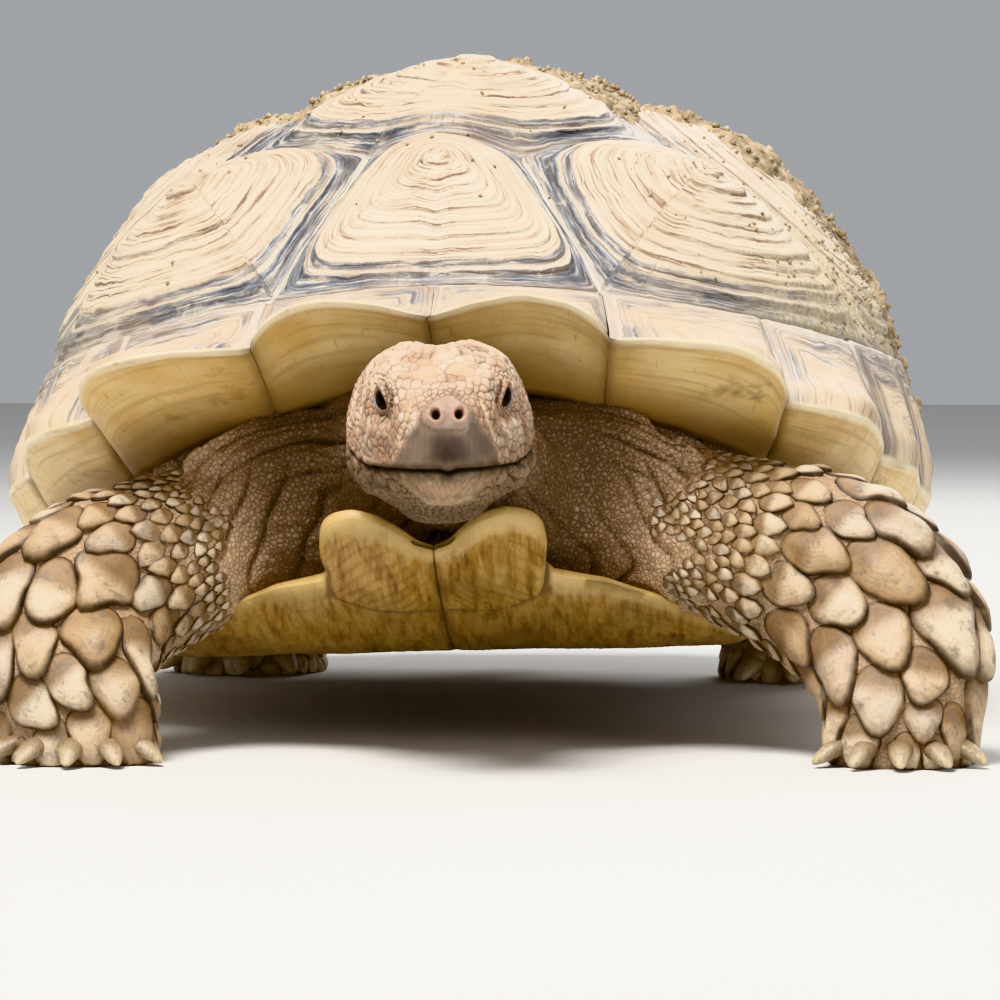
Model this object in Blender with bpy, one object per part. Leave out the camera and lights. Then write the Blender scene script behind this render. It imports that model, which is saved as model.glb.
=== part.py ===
"""Sulcata tortoise (African spurred tortoise), adult male, a still life-size model.

Metres, +Z up. The animal walks along -Y, and its own left side is +X. Its horny scutes,
its flesh, its jaw and its eyes are separate solids. The origin is on the floor, under the
middle of the box round the whole animal.
"""

import math

import bmesh
import bpy
import numpy as np
from mathutils import Matrix, Vector

# ---- driving dimensions ---------------------------------------------------------------
GAP = 0.0004  # clearance between neighbouring solids
WELD = 0.000005  # points nearer than this are one point
ROLL = math.radians(1.5)  # the shell leans towards the animal's right
ROLL_HEIGHT = 0.10  # height of the axis about which the shell leans
PLATE = 0.010  # thickness of the shell's bone and horn
ROOM = 0.003  # clearance of the flesh inside the shell, where it is hidden
SEAM_RING = 0.80  # domain radius where the marginal scutes begin
RIM_SQUARENESS = 0.5  # how much squarer than an ellipse the rim is, seen from above

# The dome's outline along three meridians: domain radius, reach from the middle, height.
FRONT_MERIDIAN = (
    (0.0, 0.000, 0.346), (0.2, 0.080, 0.343), (0.4, 0.155, 0.325), (0.6, 0.218, 0.285),
    (0.8, 0.268, 0.238), (0.9, 0.295, 0.224), (1.0, 0.320, 0.222),
)
SIDE_MERIDIAN = (
    (0.0, 0.000, 0.346), (0.2, 0.076, 0.337), (0.4, 0.142, 0.304), (0.6, 0.197, 0.251),
    (0.8, 0.236, 0.190), (0.9, 0.246, 0.151), (1.0, 0.249, 0.112),
)
REAR_MERIDIAN = (
    (0.0, 0.000, 0.346), (0.2, 0.082, 0.341), (0.4, 0.160, 0.314), (0.6, 0.226, 0.262),
    (0.8, 0.276, 0.186), (0.9, 0.298, 0.140), (1.0, 0.318, 0.104),
)
# The inner lip of the marginals, where skin or bridge begins: reach, height.
FRONT_LIP, SIDE_LIP, REAR_LIP = (0.262, 0.184), (0.232, 0.084), (0.286, 0.128)

# Angles from the nose end at which the seams between marginals meet the rim, one side.
RIM_SEAMS = (0, 20.5, 41.5, 58, 72, 85, 98, 111, 125, 140, 154, 168, 180)
# Each marginal's lobe: how far it stands out, and how far it turns up.
RIM_LOBES = (
    (0.016, 0.014), (0.024, 0.013), (0.012, 0.008), (0.005, 0.003), (0.003, 0.0), (0.003, 0.0),
    (0.004, 0.0), (0.009, 0.002), (0.014, 0.004), (0.014, 0.004), (0.011, 0.002), (0.004, -0.004),
)
EXTRA_FLARE = {"marginal_2_right": 0.015}  # a rim scute that stands out further than its fellow
LOBE_PEAK = 1.5  # above 1 the lobe's tip lies towards the tail end of its scute
RIM_STATIONS = 3  # sections along one marginal

# Corners of the scutes on the unit disc: x to the left side, y to the tail.
VERTEBRAL_ENDS = ((0.112, -0.50), (0.19, -0.14), (0.19, 0.20), (0.15, 0.52))
VERTEBRAL_SIDES = ((0.30, -0.31), (0.31, 0.03), (0.28, 0.37))
COSTAL_SEAMS = (65, 91.5, 118, 161)  # degrees, where the costals' seams meet the marginals
VERTEBRAL_PEAKS = (0.010, 0.021, 0.014, 0.014, 0.012)  # how far each scute's middle stands up
COSTAL_PEAK = 0.013
V2_LEAN = 0.035  # the second vertebral's peak lies off the mid-line
AREOLA_SHIFT = 0.10  # how far a costal's oldest part lies towards the spine
SEAM_STEPS = 3  # points along one straight seam
SCUTE_RINGS = (0.0, 0.45, 1.0)

# Plastron: height of its underside along the mid-line, and the corners of its scutes.
PLASTRON_PROFILE = (
    (-0.345, 0.117), (-0.320, 0.103), (-0.295, 0.088), (-0.270, 0.073), (-0.245, 0.060),
    (-0.200, 0.047), (-0.150, 0.045), (0.0, 0.048), (0.15, 0.045), (0.20, 0.046), (0.27, 0.056),
)
BRIDGE_START, BRIDGE_END = 0.14, 0.19  # the bridge rises outside this x, inside this |y|
PLASTRON_EDGE = (  # half width of the plastron along the body
    (-0.36, 0.052), (-0.342, 0.056), (-0.322, 0.058), (-0.300, 0.062), (-0.262, 0.115),
    (-0.235, 0.142), (-0.208, 0.155), (-0.178, 0.153),
    (-0.145, 0.185), (-0.12, 0.222), (0.08, 0.232), (0.135, 0.205), (0.145, 0.150), (0.17, 0.143),
    (0.212, 0.123), (0.24, 0.101), (0.262, 0.060), (0.285, 0.040),
)
BRIDGE_SCUTES = ("pectoral", "abdominal")
PLASTRON_SCUTES = {  # front edge and rear edge from the mid-line outward, rows between them
    "gular": (
        ((0, -0.316), (0.016, -0.332), (0.034, -0.342), (0.050, -0.336), (0.057, -0.318)),
        ((0, -0.268), (0.015, -0.272), (0.030, -0.276), (0.042, -0.286), (0.054, -0.296)), 4,
    ),
    "humeral": (
        ((0, -0.268), (0.030, -0.276), (0.054, -0.296), (0.084, -0.284), (0.112, -0.264),
         (0.138, -0.240), (0.155, -0.208)),
        ((0, -0.160), (0.030, -0.1636), (0.054, -0.1664), (0.084, -0.1700), (0.112, -0.1733),
         (0.138, -0.1764), (0.152, -0.178)), 4,
    ),
    "pectoral": (
        ((0, -0.160), (0.080, -0.1695), (0.152, -0.178), (0.182, -0.158), (0.212, -0.136)),
        ((0, -0.115), (0.080, -0.109), (0.152, -0.1035), (0.182, -0.101), (0.212, -0.099)), 2,
    ),
    "abdominal": (
        ((0, -0.115), (0.080, -0.109), (0.152, -0.1035), (0.182, -0.101), (0.212, -0.099)),
        ((0, 0.105), (0.080, 0.119), (0.150, 0.131), (0.178, 0.138), (0.200, 0.143)), 5,
    ),
    "femoral": (
        ((0, 0.105), (0.080, 0.119), (0.150, 0.131)),
        ((0, 0.192), (0.068, 0.203), (0.124, 0.212)), 3,
    ),
    "anal": (
        ((0, 0.192), (0.040, 0.1985), (0.080, 0.205), (0.122, 0.2117)),
        ((0, 0.236), (0.032, 0.258), (0.062, 0.260), (0.102, 0.238)), 3,
    ),
}
GULAR_RISE = 0.006  # how far the tips of the gulars turn up
GULAR_BULGE = 0.006  # how far the gular scutes stand proud of the lobe

# Flesh, before the lean: position, half width and half depth of each section.
TRUNK_SECTIONS = (  # y, middle height, half width, half height
    (-0.268, 0.128, 0.075, 0.042), (-0.245, 0.128, 0.122, 0.052), (-0.205, 0.138, 0.160, 0.068),
    (-0.14, 0.160, 0.192, 0.098), (-0.05, 0.182, 0.212, 0.122), (0.05, 0.182, 0.214, 0.122),
    (0.14, 0.165, 0.198, 0.102), (0.205, 0.142, 0.165, 0.074), (0.25, 0.132, 0.115, 0.050),
    (0.270, 0.128, 0.070, 0.036),
)
NECK_PATH = ((0.0, -0.19, 0.132), (0.002, -0.245, 0.138), (0.006, -0.29, 0.149), (0.011, -0.335, 0.165))
NECK_SIZES = ((0.088, 0.046), (0.080, 0.043), (0.056, 0.038), (0.040, 0.032))

HEAD_PLACE = (0.0032, -0.318, 0.1655)  # middle of the head's back end
HEAD_YAW, HEAD_PITCH = math.radians(7.3), math.radians(1.0)
HEAD_SECTIONS = (  # distance from the back end, half width, top, bottom, squareness
    (-0.030, 0.034, 0.028, -0.030, 2.0), (0.000, 0.0385, 0.033, -0.033, 2.1),
    (0.020, 0.0445, 0.0400, -0.0360, 2.5), (0.040, 0.0472, 0.0440, -0.0405, 2.9),
    (0.058, 0.0455, 0.0448, -0.0425, 3.0), (0.076, 0.0400, 0.0430, -0.0405, 2.9),
    (0.092, 0.0325, 0.0370, -0.0370, 2.7), (0.106, 0.0255, 0.0300, -0.0325, 2.5),
    (0.116, 0.0195, 0.0230, -0.0280, 2.3), (0.1215, 0.0130, 0.0170, -0.0215, 2.2),
)
MOUTH_HEIGHT, MOUTH_BACK = -0.0105, 0.040  # of the cut between head and lower jaw
EYE_RADIUS = 0.0088
EYE_PLACE = (0.0240, 0.0860, 0.0200)  # beside, along and above the head's axis

# Legs: right foreleg, left foreleg, right hind leg, left hind leg.
FORELEG_RIGHT = (
    ((-0.060, -0.200, 0.120), (0.046, 0.044)), ((-0.125, -0.243, 0.106), (0.044, 0.042)),
    ((-0.178, -0.283, 0.082), (0.050, 0.039)), ((-0.188, -0.315, 0.048), (0.049, 0.034)),
    ((-0.176, -0.327, 0.022), (0.040, 0.033)), ((-0.176, -0.327, 0.0), (0.039, 0.034)),
)
FORELEG_LEFT = (
    ((0.060, -0.200, 0.120), (0.046, 0.044)), ((0.134, -0.240, 0.107), (0.044, 0.042)),
    ((0.200, -0.270, 0.084), (0.051, 0.039)), ((0.231, -0.297, 0.050), (0.047, 0.034)),
    ((0.232, -0.312, 0.022), (0.038, 0.033)), ((0.232, -0.312, 0.0), (0.037, 0.034)),
)
HINDLEG_RIGHT = (
    ((-0.080, 0.150, 0.130), (0.055, 0.050)), ((-0.135, 0.200, 0.112), (0.053, 0.050)),
    ((-0.158, 0.232, 0.066), (0.045, 0.046)), ((-0.158, 0.238, 0.022), (0.044, 0.046)),
    ((-0.158, 0.238, 0.0), (0.046, 0.048)),
)
HINDLEG_LEFT = (
    ((0.080, 0.140, 0.130), (0.055, 0.050)), ((0.140, 0.180, 0.112), (0.053, 0.050)),
    ((0.172, 0.200, 0.066), (0.045, 0.046)), ((0.174, 0.202, 0.022), (0.044, 0.046)),
    ((0.174, 0.202, 0.0), (0.046, 0.048)),
)
FORE_CLAWS, HIND_CLAWS = 5, 4
FORE_CLAW, HIND_CLAW = (0.026, 0.0075), (0.024, 0.0085)  # length, half width
THIGH_SPUR = (0.026, 0.0085)
TAIL = (
    ((0.0, 0.225, 0.122), (0.036, 0.030)), ((0.004, 0.262, 0.100), (0.029, 0.026)),
    ((0.014, 0.284, 0.074), (0.020, 0.019)), ((0.028, 0.290, 0.052), (0.009, 0.009)),
)

COLOURS = {  # colour, roughness, metallic
    "scute": ((0.66, 0.50, 0.34), 0.55, 0.0),
    "rim": ((0.58, 0.42, 0.20), 0.5, 0.0),
    "plastron": ((0.42, 0.27, 0.09), 0.45, 0.0),
    "skin": ((0.26, 0.16, 0.09), 0.8, 0.0),
    "head": ((0.55, 0.38, 0.26), 0.7, 0.0),
    "eye": ((0.015, 0.01, 0.008), 0.1, 0.0),
}


# ---- curves and surfaces --------------------------------------------------------------
def smooth(x, xs, ys):
    """A smooth curve through the points (xs, ys), read at x."""
    x, xs, ys = np.asarray(x, float), np.asarray(xs, float), np.asarray(ys, float)
    slopes = np.gradient(ys, xs, axis=0)
    i = np.clip(np.searchsorted(xs, x) - 1, 0, len(xs) - 2)
    step = xs[i + 1] - xs[i]
    t = np.clip((x - xs[i]) / step, 0.0, 1.0)
    if ys.ndim > 1:
        t, step = t[..., None], step[..., None]
    return (
        ys[i] * (1 + 2 * t) * (1 - t) ** 2 + slopes[i] * step * t * (1 - t) ** 2
        + ys[i + 1] * t * t * (3 - 2 * t) + slopes[i + 1] * step * t * t * (t - 1)
    )


def meridian(table, radius):
    """Reach and height of the dome at a domain radius: reach is odd about 0, height even."""
    r, reach, height = np.array(table).T
    both = np.concatenate([-r[:0:-1], r])
    reaches = np.concatenate([-reach[:0:-1], reach])
    heights = np.concatenate([height[:0:-1], height])
    return smooth(radius, both, reaches), smooth(radius, both, heights)


def blend_round(angle, front, side, rear, squareness):
    """Turns (reach, height) at the front, side and rear into a point at this angle."""
    s, c = np.sin(angle), np.cos(angle)
    power = 2 + squareness
    swell = (np.abs(s) ** power + np.abs(c) ** power) ** (-1 / power)
    ahead = c > 0
    reach = np.where(ahead, front[0], rear[0])
    height = side[1] * s * s + np.where(ahead, front[1], rear[1]) * c * c
    return np.stack([side[0] * s * swell, -reach * c * swell, height], axis=-1)


def dome(at):
    """The carapace's outer surface over the unit disc, with no relief."""
    at = np.atleast_2d(np.asarray(at, float))
    radius = np.hypot(at[:, 0], at[:, 1])
    angle = np.arctan2(at[:, 0], -at[:, 1])
    meridians = (meridian(m, radius) for m in (FRONT_MERIDIAN, SIDE_MERIDIAN, REAR_MERIDIAN))
    return blend_round(angle, *meridians, RIM_SQUARENESS * radius**2)


def dome_normals(at):
    at, d = np.atleast_2d(np.asarray(at, float)), 1e-3
    across = dome(at + [d, 0]) - dome(at - [d, 0])
    along = dome(at + [0, d]) - dome(at - [0, d])
    n = np.cross(across, along)
    return n / np.linalg.norm(n, axis=1)[:, None]


def leaned(points):
    """The shell's lean about a lengthwise axis, the animal's left side up."""
    p = np.array(points, float)
    x, z = p[..., 0].copy(), p[..., 2] - ROLL_HEIGHT
    p[..., 0] = x * math.cos(ROLL) - z * math.sin(ROLL)
    p[..., 2] = x * math.sin(ROLL) + z * math.cos(ROLL) + ROLL_HEIGHT
    return p


def on_ring(degrees, radius=SEAM_RING):
    a = math.radians(degrees)
    return (radius * math.sin(a), -radius * math.cos(a))


def rim_angles(low, high):
    """The marginals' section angles from low to high degrees."""
    found = []
    for start, end in zip(RIM_SEAMS, RIM_SEAMS[1:]):
        found += [start + (end - start) * k / RIM_STATIONS for k in range(RIM_STATIONS)]
    found.append(RIM_SEAMS[-1])
    return [a for a in found if low - 1e-6 <= a <= high + 1e-6]


# ---- meshes ---------------------------------------------------------------------------
def material(kind):
    made = bpy.data.materials.get(kind)
    if made is None:
        colour, roughness, metallic = COLOURS[kind]
        made = bpy.data.materials.new(kind)
        made.use_nodes = True
        shader = made.node_tree.nodes["Principled BSDF"]
        shader.inputs["Base Color"].default_value = (*colour, 1)
        shader.inputs["Roughness"].default_value = roughness
        shader.inputs["Metallic"].default_value = metallic
    return made


def add_object(name, points, faces, kind):
    mesh = bpy.data.meshes.new(name)
    mesh.from_pydata([tuple(p) for p in points], [], [tuple(f) for f in faces])
    work = bmesh.new()
    work.from_mesh(mesh)
    bmesh.ops.remove_doubles(work, verts=work.verts, dist=1e-6)
    bmesh.ops.recalc_face_normals(work, faces=work.faces)
    work.to_mesh(mesh)
    work.free()
    mesh.shade_smooth()
    mesh.set_sharp_from_angle(angle=math.radians(35))
    mesh.materials.append(material(kind))
    made = bpy.data.objects.new(name, mesh)
    bpy.context.scene.collection.objects.link(made)
    return made


def bands(rings, count):
    """Quads that join rings of count points each, stacked in order."""
    return [
        (r * count + k, r * count + (k + 1) % count, (r + 1) * count + (k + 1) % count, (r + 1) * count + k)
        for r in range(rings - 1)
        for k in range(count)
    ]


def loft(name, sections, kind):
    """A closed solid through sections of equal, even count, with its ends closed."""
    count = len(sections[0])
    last = (len(sections) - 1) * count
    faces = bands(len(sections), count)
    for k in range(count // 2 - 1):
        a, b, c, d = k, k + 1, count - 2 - k, count - 1 - k
        faces += [(c, b, a), (d, c, a)]
        faces += [(last + a, last + b, last + c), (last + a, last + c, last + d)]
    return add_object(name, np.concatenate(sections), faces, kind)


def oval(width, top, bottom, squareness, sides):
    """Points round an upright oval whose middle is at height 0, as (across, up)."""
    turn = np.linspace(0, 2 * math.pi, sides, endpoint=False)
    c, s = np.cos(turn), np.sin(turn)
    across = width * np.sign(c) * np.abs(c) ** (2 / squareness)
    up = np.where(s > 0, top, -bottom) * np.sign(s) * np.abs(s) ** (2 / squareness)
    return across, up


def limb_sections(path, sizes, rings, sides, squareness=2.3):
    """Sections square to a smooth path, broad across the way that faces forward."""
    at = np.linspace(0, 1, len(path))
    read = np.linspace(0, 1, rings)
    centres = smooth(read, at, np.array(path))
    size = smooth(read, at, np.array(sizes))
    tangents = np.gradient(centres, axis=0)
    tangents[-1] = np.array(path[-1]) - np.array(path[-2])
    sections = []
    for centre, tangent, (half, deep) in zip(centres, tangents, size):
        tangent = tangent / np.linalg.norm(tangent)
        ahead = np.array([0.0, -1.0, 0.0])
        ahead -= tangent * (ahead @ tangent)
        ahead /= np.linalg.norm(ahead)
        broad = np.cross(ahead, tangent)
        across, up = oval(half, deep, -deep, squareness, sides)
        sections.append(centre + np.outer(across, broad) + np.outer(up, ahead))
    return sections


# ---- carapace -------------------------------------------------------------------------
def outline(corners):
    """A closed outline in the disc. A corner may be an arc, a list of ready points."""
    points = []
    for i, here in enumerate(corners):
        after = corners[(i + 1) % len(corners)]
        arc = isinstance(here, list)
        start = np.array(here[-1] if arc else here)
        end = np.array(after[0] if isinstance(after, list) else after)
        points += [np.array(p) for p in here[:-1]] if arc else []
        points += [start + (end - start) * k / SEAM_STEPS for k in range(SEAM_STEPS)]
    return np.array(points)


def mirrored(point):
    return (-point[0], point[1])


def scute_outlines():
    """Name: (outline, areola) of the vertebral and costal scutes on the unit disc."""
    found = {}
    ends, sides = VERTEBRAL_ENDS, VERTEBRAL_SIDES
    first = [on_ring(a) for a in rim_angles(0, RIM_SEAMS[1])]
    last = [on_ring(a) for a in (COSTAL_SEAMS[3], *rim_angles(COSTAL_SEAMS[3] + 1, 180))]
    found["vertebral_1"] = outline(
        [[mirrored(p) for p in first[:0:-1]] + first, ends[0], mirrored(ends[0])]
    ), (0.0, -0.585)
    for n, areola_y in ((0, -0.285), (1, 0.045), (2, 0.365)):
        areola_x = V2_LEAN if n == 0 else 0.0
        front, rear, side = ends[n], ends[n + 1], sides[n]
        found[f"vertebral_{n + 2}"] = outline(
            [mirrored(front), front, side, rear, mirrored(rear), mirrored(side)]
        ), (areola_x, areola_y)
    found["vertebral_5"] = outline(
        [mirrored(ends[3]), ends[3], last + [mirrored(p) for p in last[-2::-1]]]
    ), (0.0, 0.64)
    starts = (RIM_SEAMS[1], *COSTAL_SEAMS[:3])
    corners = (
        (ends[0], None), (ends[1], sides[0]), (ends[2], sides[1]), (ends[3], sides[2]),
    )
    for n, (start, end) in enumerate(zip(starts, COSTAL_SEAMS)):
        between = [a for a in rim_angles(start, end) if start + 1 < a < end - 1]
        arc = [on_ring(a) for a in (start, *between, end)]
        spine, before = corners[n]
        behind = [sides[n]] if n < 3 else []
        shape = ([before] if before else []) + [arc] + behind + [spine]
        left = outline(shape)
        middle = left.mean(axis=0) * (1 - AREOLA_SHIFT)
        found[f"costal_{n + 1}_left"] = left, tuple(middle)
        found[f"costal_{n + 1}_right"] = left * [-1, 1], (-middle[0], middle[1])
    return found


def make_scute(name, edge, areola):
    """A plate of the dome that stands up towards its areola."""
    areola = np.array(areola)
    edge = areola + (edge - areola) * (1 - 2.2 * GAP / 0.12)
    peak = VERTEBRAL_PEAKS[int(name[-1]) - 1] if name.startswith("vertebral") else COSTAL_PEAK
    outer, inner = [], []
    for share in SCUTE_RINGS:
        at = areola + (edge - areola) * share
        normals = dome_normals(at)
        surface = dome(at)
        outer.append(surface + normals * peak * (1 - share) ** 1.2)
        inner.append(surface - normals * PLATE)
    count = len(edge)
    rings = [r for r in inner[1:]] + [r for r in outer[:0:-1]]
    points = np.concatenate([*rings, inner[0][:1], outer[0][:1]])
    low, high = len(points) - 2, len(points) - 1
    faces = bands(len(rings), count)
    faces += [((k + 1) % count, k, low) for k in range(count)]
    top = (len(rings) - 1) * count
    faces += [(top + k, top + (k + 1) % count, high) for k in range(count)]
    return add_object(name, leaned(points), faces, "scute")


def lobe_at(number, share, extra):
    """Outward and upward shift of the rim within a marginal, share 0 at its front seam."""
    out, up = RIM_LOBES[number]
    out += extra
    if number == len(RIM_LOBES) - 1:
        swell = math.cos(math.pi / 2 * (1 - share)) ** 0.8
    else:
        swell = max(0.0, math.sin(math.pi * share**LOBE_PEAK)) ** 0.7
    return out * swell, up * swell


def marginal_section(number, share, gap_share, extra=0.0):
    """One section of a marginal's wedge, in order round it."""
    start, end = RIM_SEAMS[number : number + 2]
    inset = start + (end - start) * (0.5 + (share - 0.5) * (1 - gap_share))
    angle = math.radians(inset)
    ring = SEAM_RING + 0.0025
    top = [on_ring(inset, r) for r in (ring, 0.9, 1.0)]
    points = dome(top)
    outward = points[2] * [1, 1, 0]
    outward = outward / np.linalg.norm(outward)
    out, up = lobe_at(number, share, extra)
    points[1] += outward * out * 0.3 + np.array([0, 0, up * 0.2])
    points[2] += outward * out + np.array([0, 0, up])
    lip = blend_round(np.array(angle), FRONT_LIP, SIDE_LIP, REAR_LIP, RIM_SQUARENESS)
    side = math.sin(angle) ** 2
    under = lip * 0.45 + points[2] * 0.55 - np.array([0, 0, 0.004]) + outward * 0.006 * side
    inside = points[0] - dome_normals([top[0]])[0] * PLATE
    return np.array([points[0], points[1], points[2], under, lip, inside])


def make_marginal(name, number, sign):
    start, end = RIM_SEAMS[number : number + 2]
    gap_share = 2.2 * GAP / (0.27 * math.radians(end - start))
    shares = [k / RIM_STATIONS for k in range(RIM_STATIONS + 1)]
    extra = EXTRA_FLARE.get(name, 0.0)
    sections = [marginal_section(number, s, gap_share, extra) for s in shares]
    sections = [leaned(s * [sign, 1, 1]) for s in sections]
    return loft(name, sections, "rim")


def make_supracaudal():
    """The single rim scute over the tail, which spans both sides."""
    number = len(RIM_LOBES) - 1
    half = [k / RIM_STATIONS for k in range(RIM_STATIONS + 1)]
    left = [marginal_section(number, s, 0.0) for s in half]
    start = RIM_SEAMS[number]
    gap = 1.1 * GAP / 0.28
    left[0] = left[0] + (left[1] - left[0]) * gap * 180 / (180 - start)
    sections = left + [s * [-1, 1, 1] for s in left[-2::-1]]
    return loft("supracaudal", [leaned(s) for s in sections], "rim")


def make_carapace():
    for name, (edge, areola) in scute_outlines().items():
        make_scute(name, edge, areola)
    for number in range(len(RIM_LOBES) - 1):
        make_marginal(f"marginal_{number + 1}_left", number, 1)
        make_marginal(f"marginal_{number + 1}_right", number, -1)
    make_supracaudal()


# ---- plastron -------------------------------------------------------------------------
def lip_reach(y):
    """How far out the marginals' inner lip lies beside a point of the mid-line."""
    share = np.clip(np.abs(y) / np.where(y < 0, FRONT_LIP[0], REAR_LIP[0]), 0, 1)
    power = 2 + RIM_SQUARENESS
    return SIDE_LIP[0] * (1 - share**power) ** (1 / power)


def plastron_under(x, y):
    """Height of the plastron's underside: a flat floor, raised in front and at the bridge."""
    along, height = np.array(PLASTRON_PROFILE).T
    base = smooth(y, along, height)
    share = np.clip(np.abs(y) / np.where(y < 0, FRONT_LIP[0], REAR_LIP[0]), 0, 1)
    reach = lip_reach(y)
    ends = np.where(y < 0, FRONT_LIP[1], REAR_LIP[1])
    edge = SIDE_LIP[1] + (ends - SIDE_LIP[1]) * share**2
    out = np.clip((np.abs(x) - BRIDGE_START) / np.maximum(reach - BRIDGE_START, 0.01), 0, 1)
    near = np.clip((BRIDGE_END - np.abs(y)) / 0.04, 0, 1)
    return base + (edge - base) * out**1.6 * near * near * (3 - 2 * near)


def gular_rise(x, y):
    """The tips of the gulars turn up."""
    return GULAR_RISE * np.clip((np.abs(x) - 0.008) / 0.03, 0, 1) * np.clip((-0.30 - y) / 0.03, 0, 1)


def gular_bulge(x, y):
    """The gulars stand proud of the lobe, with a trough between the two."""
    trough = np.clip(np.abs(x) / 0.020, 0, 1)
    return GULAR_BULGE * (0.2 + 0.8 * trough) * np.clip((-0.262 - y) / 0.02, 0, 1)


def make_plastron_scute(name, front, rear, rows, sign):
    """A plate between its front and rear edges, both listed from the mid-line outward."""
    front, rear = np.array(front, float), np.array(rear, float)
    front[0, 0] += GAP / 2
    rear[0, 0] += GAP / 2
    front[:, 1] += 0.6 * GAP
    rear[:, 1] -= 0.6 * GAP
    bridge = name in BRIDGE_SCUTES
    sections = []
    for k, (a, b) in enumerate(zip(front, rear)):
        plan = a + (b - a) * np.linspace(0, 1, rows)[:, None]
        last = k == len(front) - 1
        if last and bridge:
            plan[:, 0] = lip_reach(plan[:, 1]) - 0.0015
        x, y = plan[:, 0], plan[:, 1]
        gular = name == "gular"
        top = plastron_under(x, y) + PLATE + (gular_rise(x, y) if gular else 0)
        under = top - PLATE - (gular_bulge(x, y) if gular else 0)
        worn = np.zeros(rows) + (0.35 * PLATE if last and not bridge else 0)
        worn[0] = 0.35 * PLATE if gular else worn[0]
        low = np.stack([x * sign, y, under + worn], axis=1)
        high = np.stack([x * sign, y, top], axis=1)
        sections.append(np.concatenate([low, high[::-1]]))
    side = "left" if sign > 0 else "right"
    return loft(f"{name}_{side}", [leaned(s) for s in sections], "plastron")


def make_plastron():
    for name, (front, rear, rows) in PLASTRON_SCUTES.items():
        for sign in (1, -1):
            make_plastron_scute(name, front, rear, rows, sign)


# ---- flesh ----------------------------------------------------------------------------
def head_matrix():
    turn = Matrix.Rotation(HEAD_YAW, 4, "Z") @ Matrix.Rotation(HEAD_PITCH, 4, "X")
    place = Vector(leaned(HEAD_PLACE))
    return Matrix.Translation(place) @ Matrix.Rotation(-ROLL, 4, "Y") @ turn


def from_head(points):
    """Points given beside, along and above the head's axis, in the model's frame."""
    p = np.atleast_2d(np.array(points, float))
    local = np.stack([p[:, 0], -p[:, 1], p[:, 2]], axis=1)
    m = np.array(head_matrix())
    return local @ m[:3, :3].T + m[:3, 3]


def press(points, centre, radius, depth, direction):
    """Pushes points near centre along direction, fading to nothing at radius."""
    share = np.clip(1 - np.linalg.norm(points - np.array(centre), axis=1) / radius, 0, 1)
    return points + np.outer(depth * share**2 * (3 - 2 * share), direction)


def make_head():
    table = np.array(HEAD_SECTIONS)
    read = np.concatenate([np.linspace(-0.03, 0.104, 10), [0.112, 0.118, 0.1215]])
    sections = []
    for along, width, top, bottom, square in zip(read, *smooth(read, table[:, 0], table[:, 1:]).T):
        across, up = oval(width, top, bottom, square, 18)
        sections.append(np.stack([across, np.full(18, along), up], axis=1))
    points = np.concatenate(sections)
    for side in (-1, 1):
        points = press(points, (side * 0.034, 0.098, 0.018), 0.022, 0.0040, (-side * 0.7, -0.7, 0))
        points = press(points, (side * 0.030, 0.080, 0.038), 0.016, 0.0020, (side * 0.4, 0, 1))
        points = press(points, (side * 0.040, 0.055, -0.012), 0.026, 0.0025, (side, 0, 0))
    return loft("head_form", np.split(from_head(points), len(sections)), "head")


def dome_place(x, y):
    """The point of the unit disc whose dome point lies straight above (x, y)."""
    at = np.stack([x / SIDE_MERIDIAN[-1][1], y / FRONT_MERIDIAN[-1][1]], axis=1) * 0.9
    for _ in range(30):
        miss = np.stack([x, y], axis=1) - dome(at)[:, :2]
        at = at + miss / 0.42
    return at


def held_inside(points):
    """Brings points of the trunk within the room inside the shell."""
    x, y, z = points.T
    shrink = np.minimum(1, (lip_reach(y) - 0.012) / np.maximum(np.abs(x), 0.01))
    x = x * np.where(np.abs(y) < 0.25, shrink, 1)
    at = dome_place(x, y)
    at /= np.maximum(np.hypot(*at.T) / SEAM_RING, 1)[:, None]
    normals = dome_normals(at)
    ceiling = dome(at)[:, 2] - (PLATE + ROOM + 0.003) / np.maximum(normals[:, 2], 0.35)
    floor = plastron_under(x, y) + PLATE + ROOM + 0.002
    return np.stack([x, y, np.minimum(np.maximum(z, floor), ceiling)], axis=1)


def make_trunk():
    y, middle, wide, high = np.array(TRUNK_SECTIONS).T
    read = np.linspace(y[0], y[-1], 9)
    m, w, h = smooth(read, y, middle), smooth(read, y, wide), smooth(read, y, high)
    sections = []
    for k, at in enumerate(read):
        across, up = oval(w[k], h[k], -h[k], 2.5, 14)
        section = np.stack([across, np.full(14, at), m[k] + up], axis=1)
        sections.append(leaned(held_inside(section)))
    return loft("trunk_form", sections, "skin")


def limb(name, table, rings, sides):
    """A leg or the tail. What lies above the knee leans with the shell, the foot doesn't."""
    path = np.array([p for p, _ in table], float)
    free = np.clip((path[:, 2] - 0.03) / 0.06, 0, 1)[:, None]
    path = leaned(path) * free + path * (1 - free)
    path[-2:, :2] = path[-1, :2] if path[-1, 2] == 0 else path[-2:, :2]
    return loft(name, limb_sections(path, [s for _, s in table], rings, sides), "skin")


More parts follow.
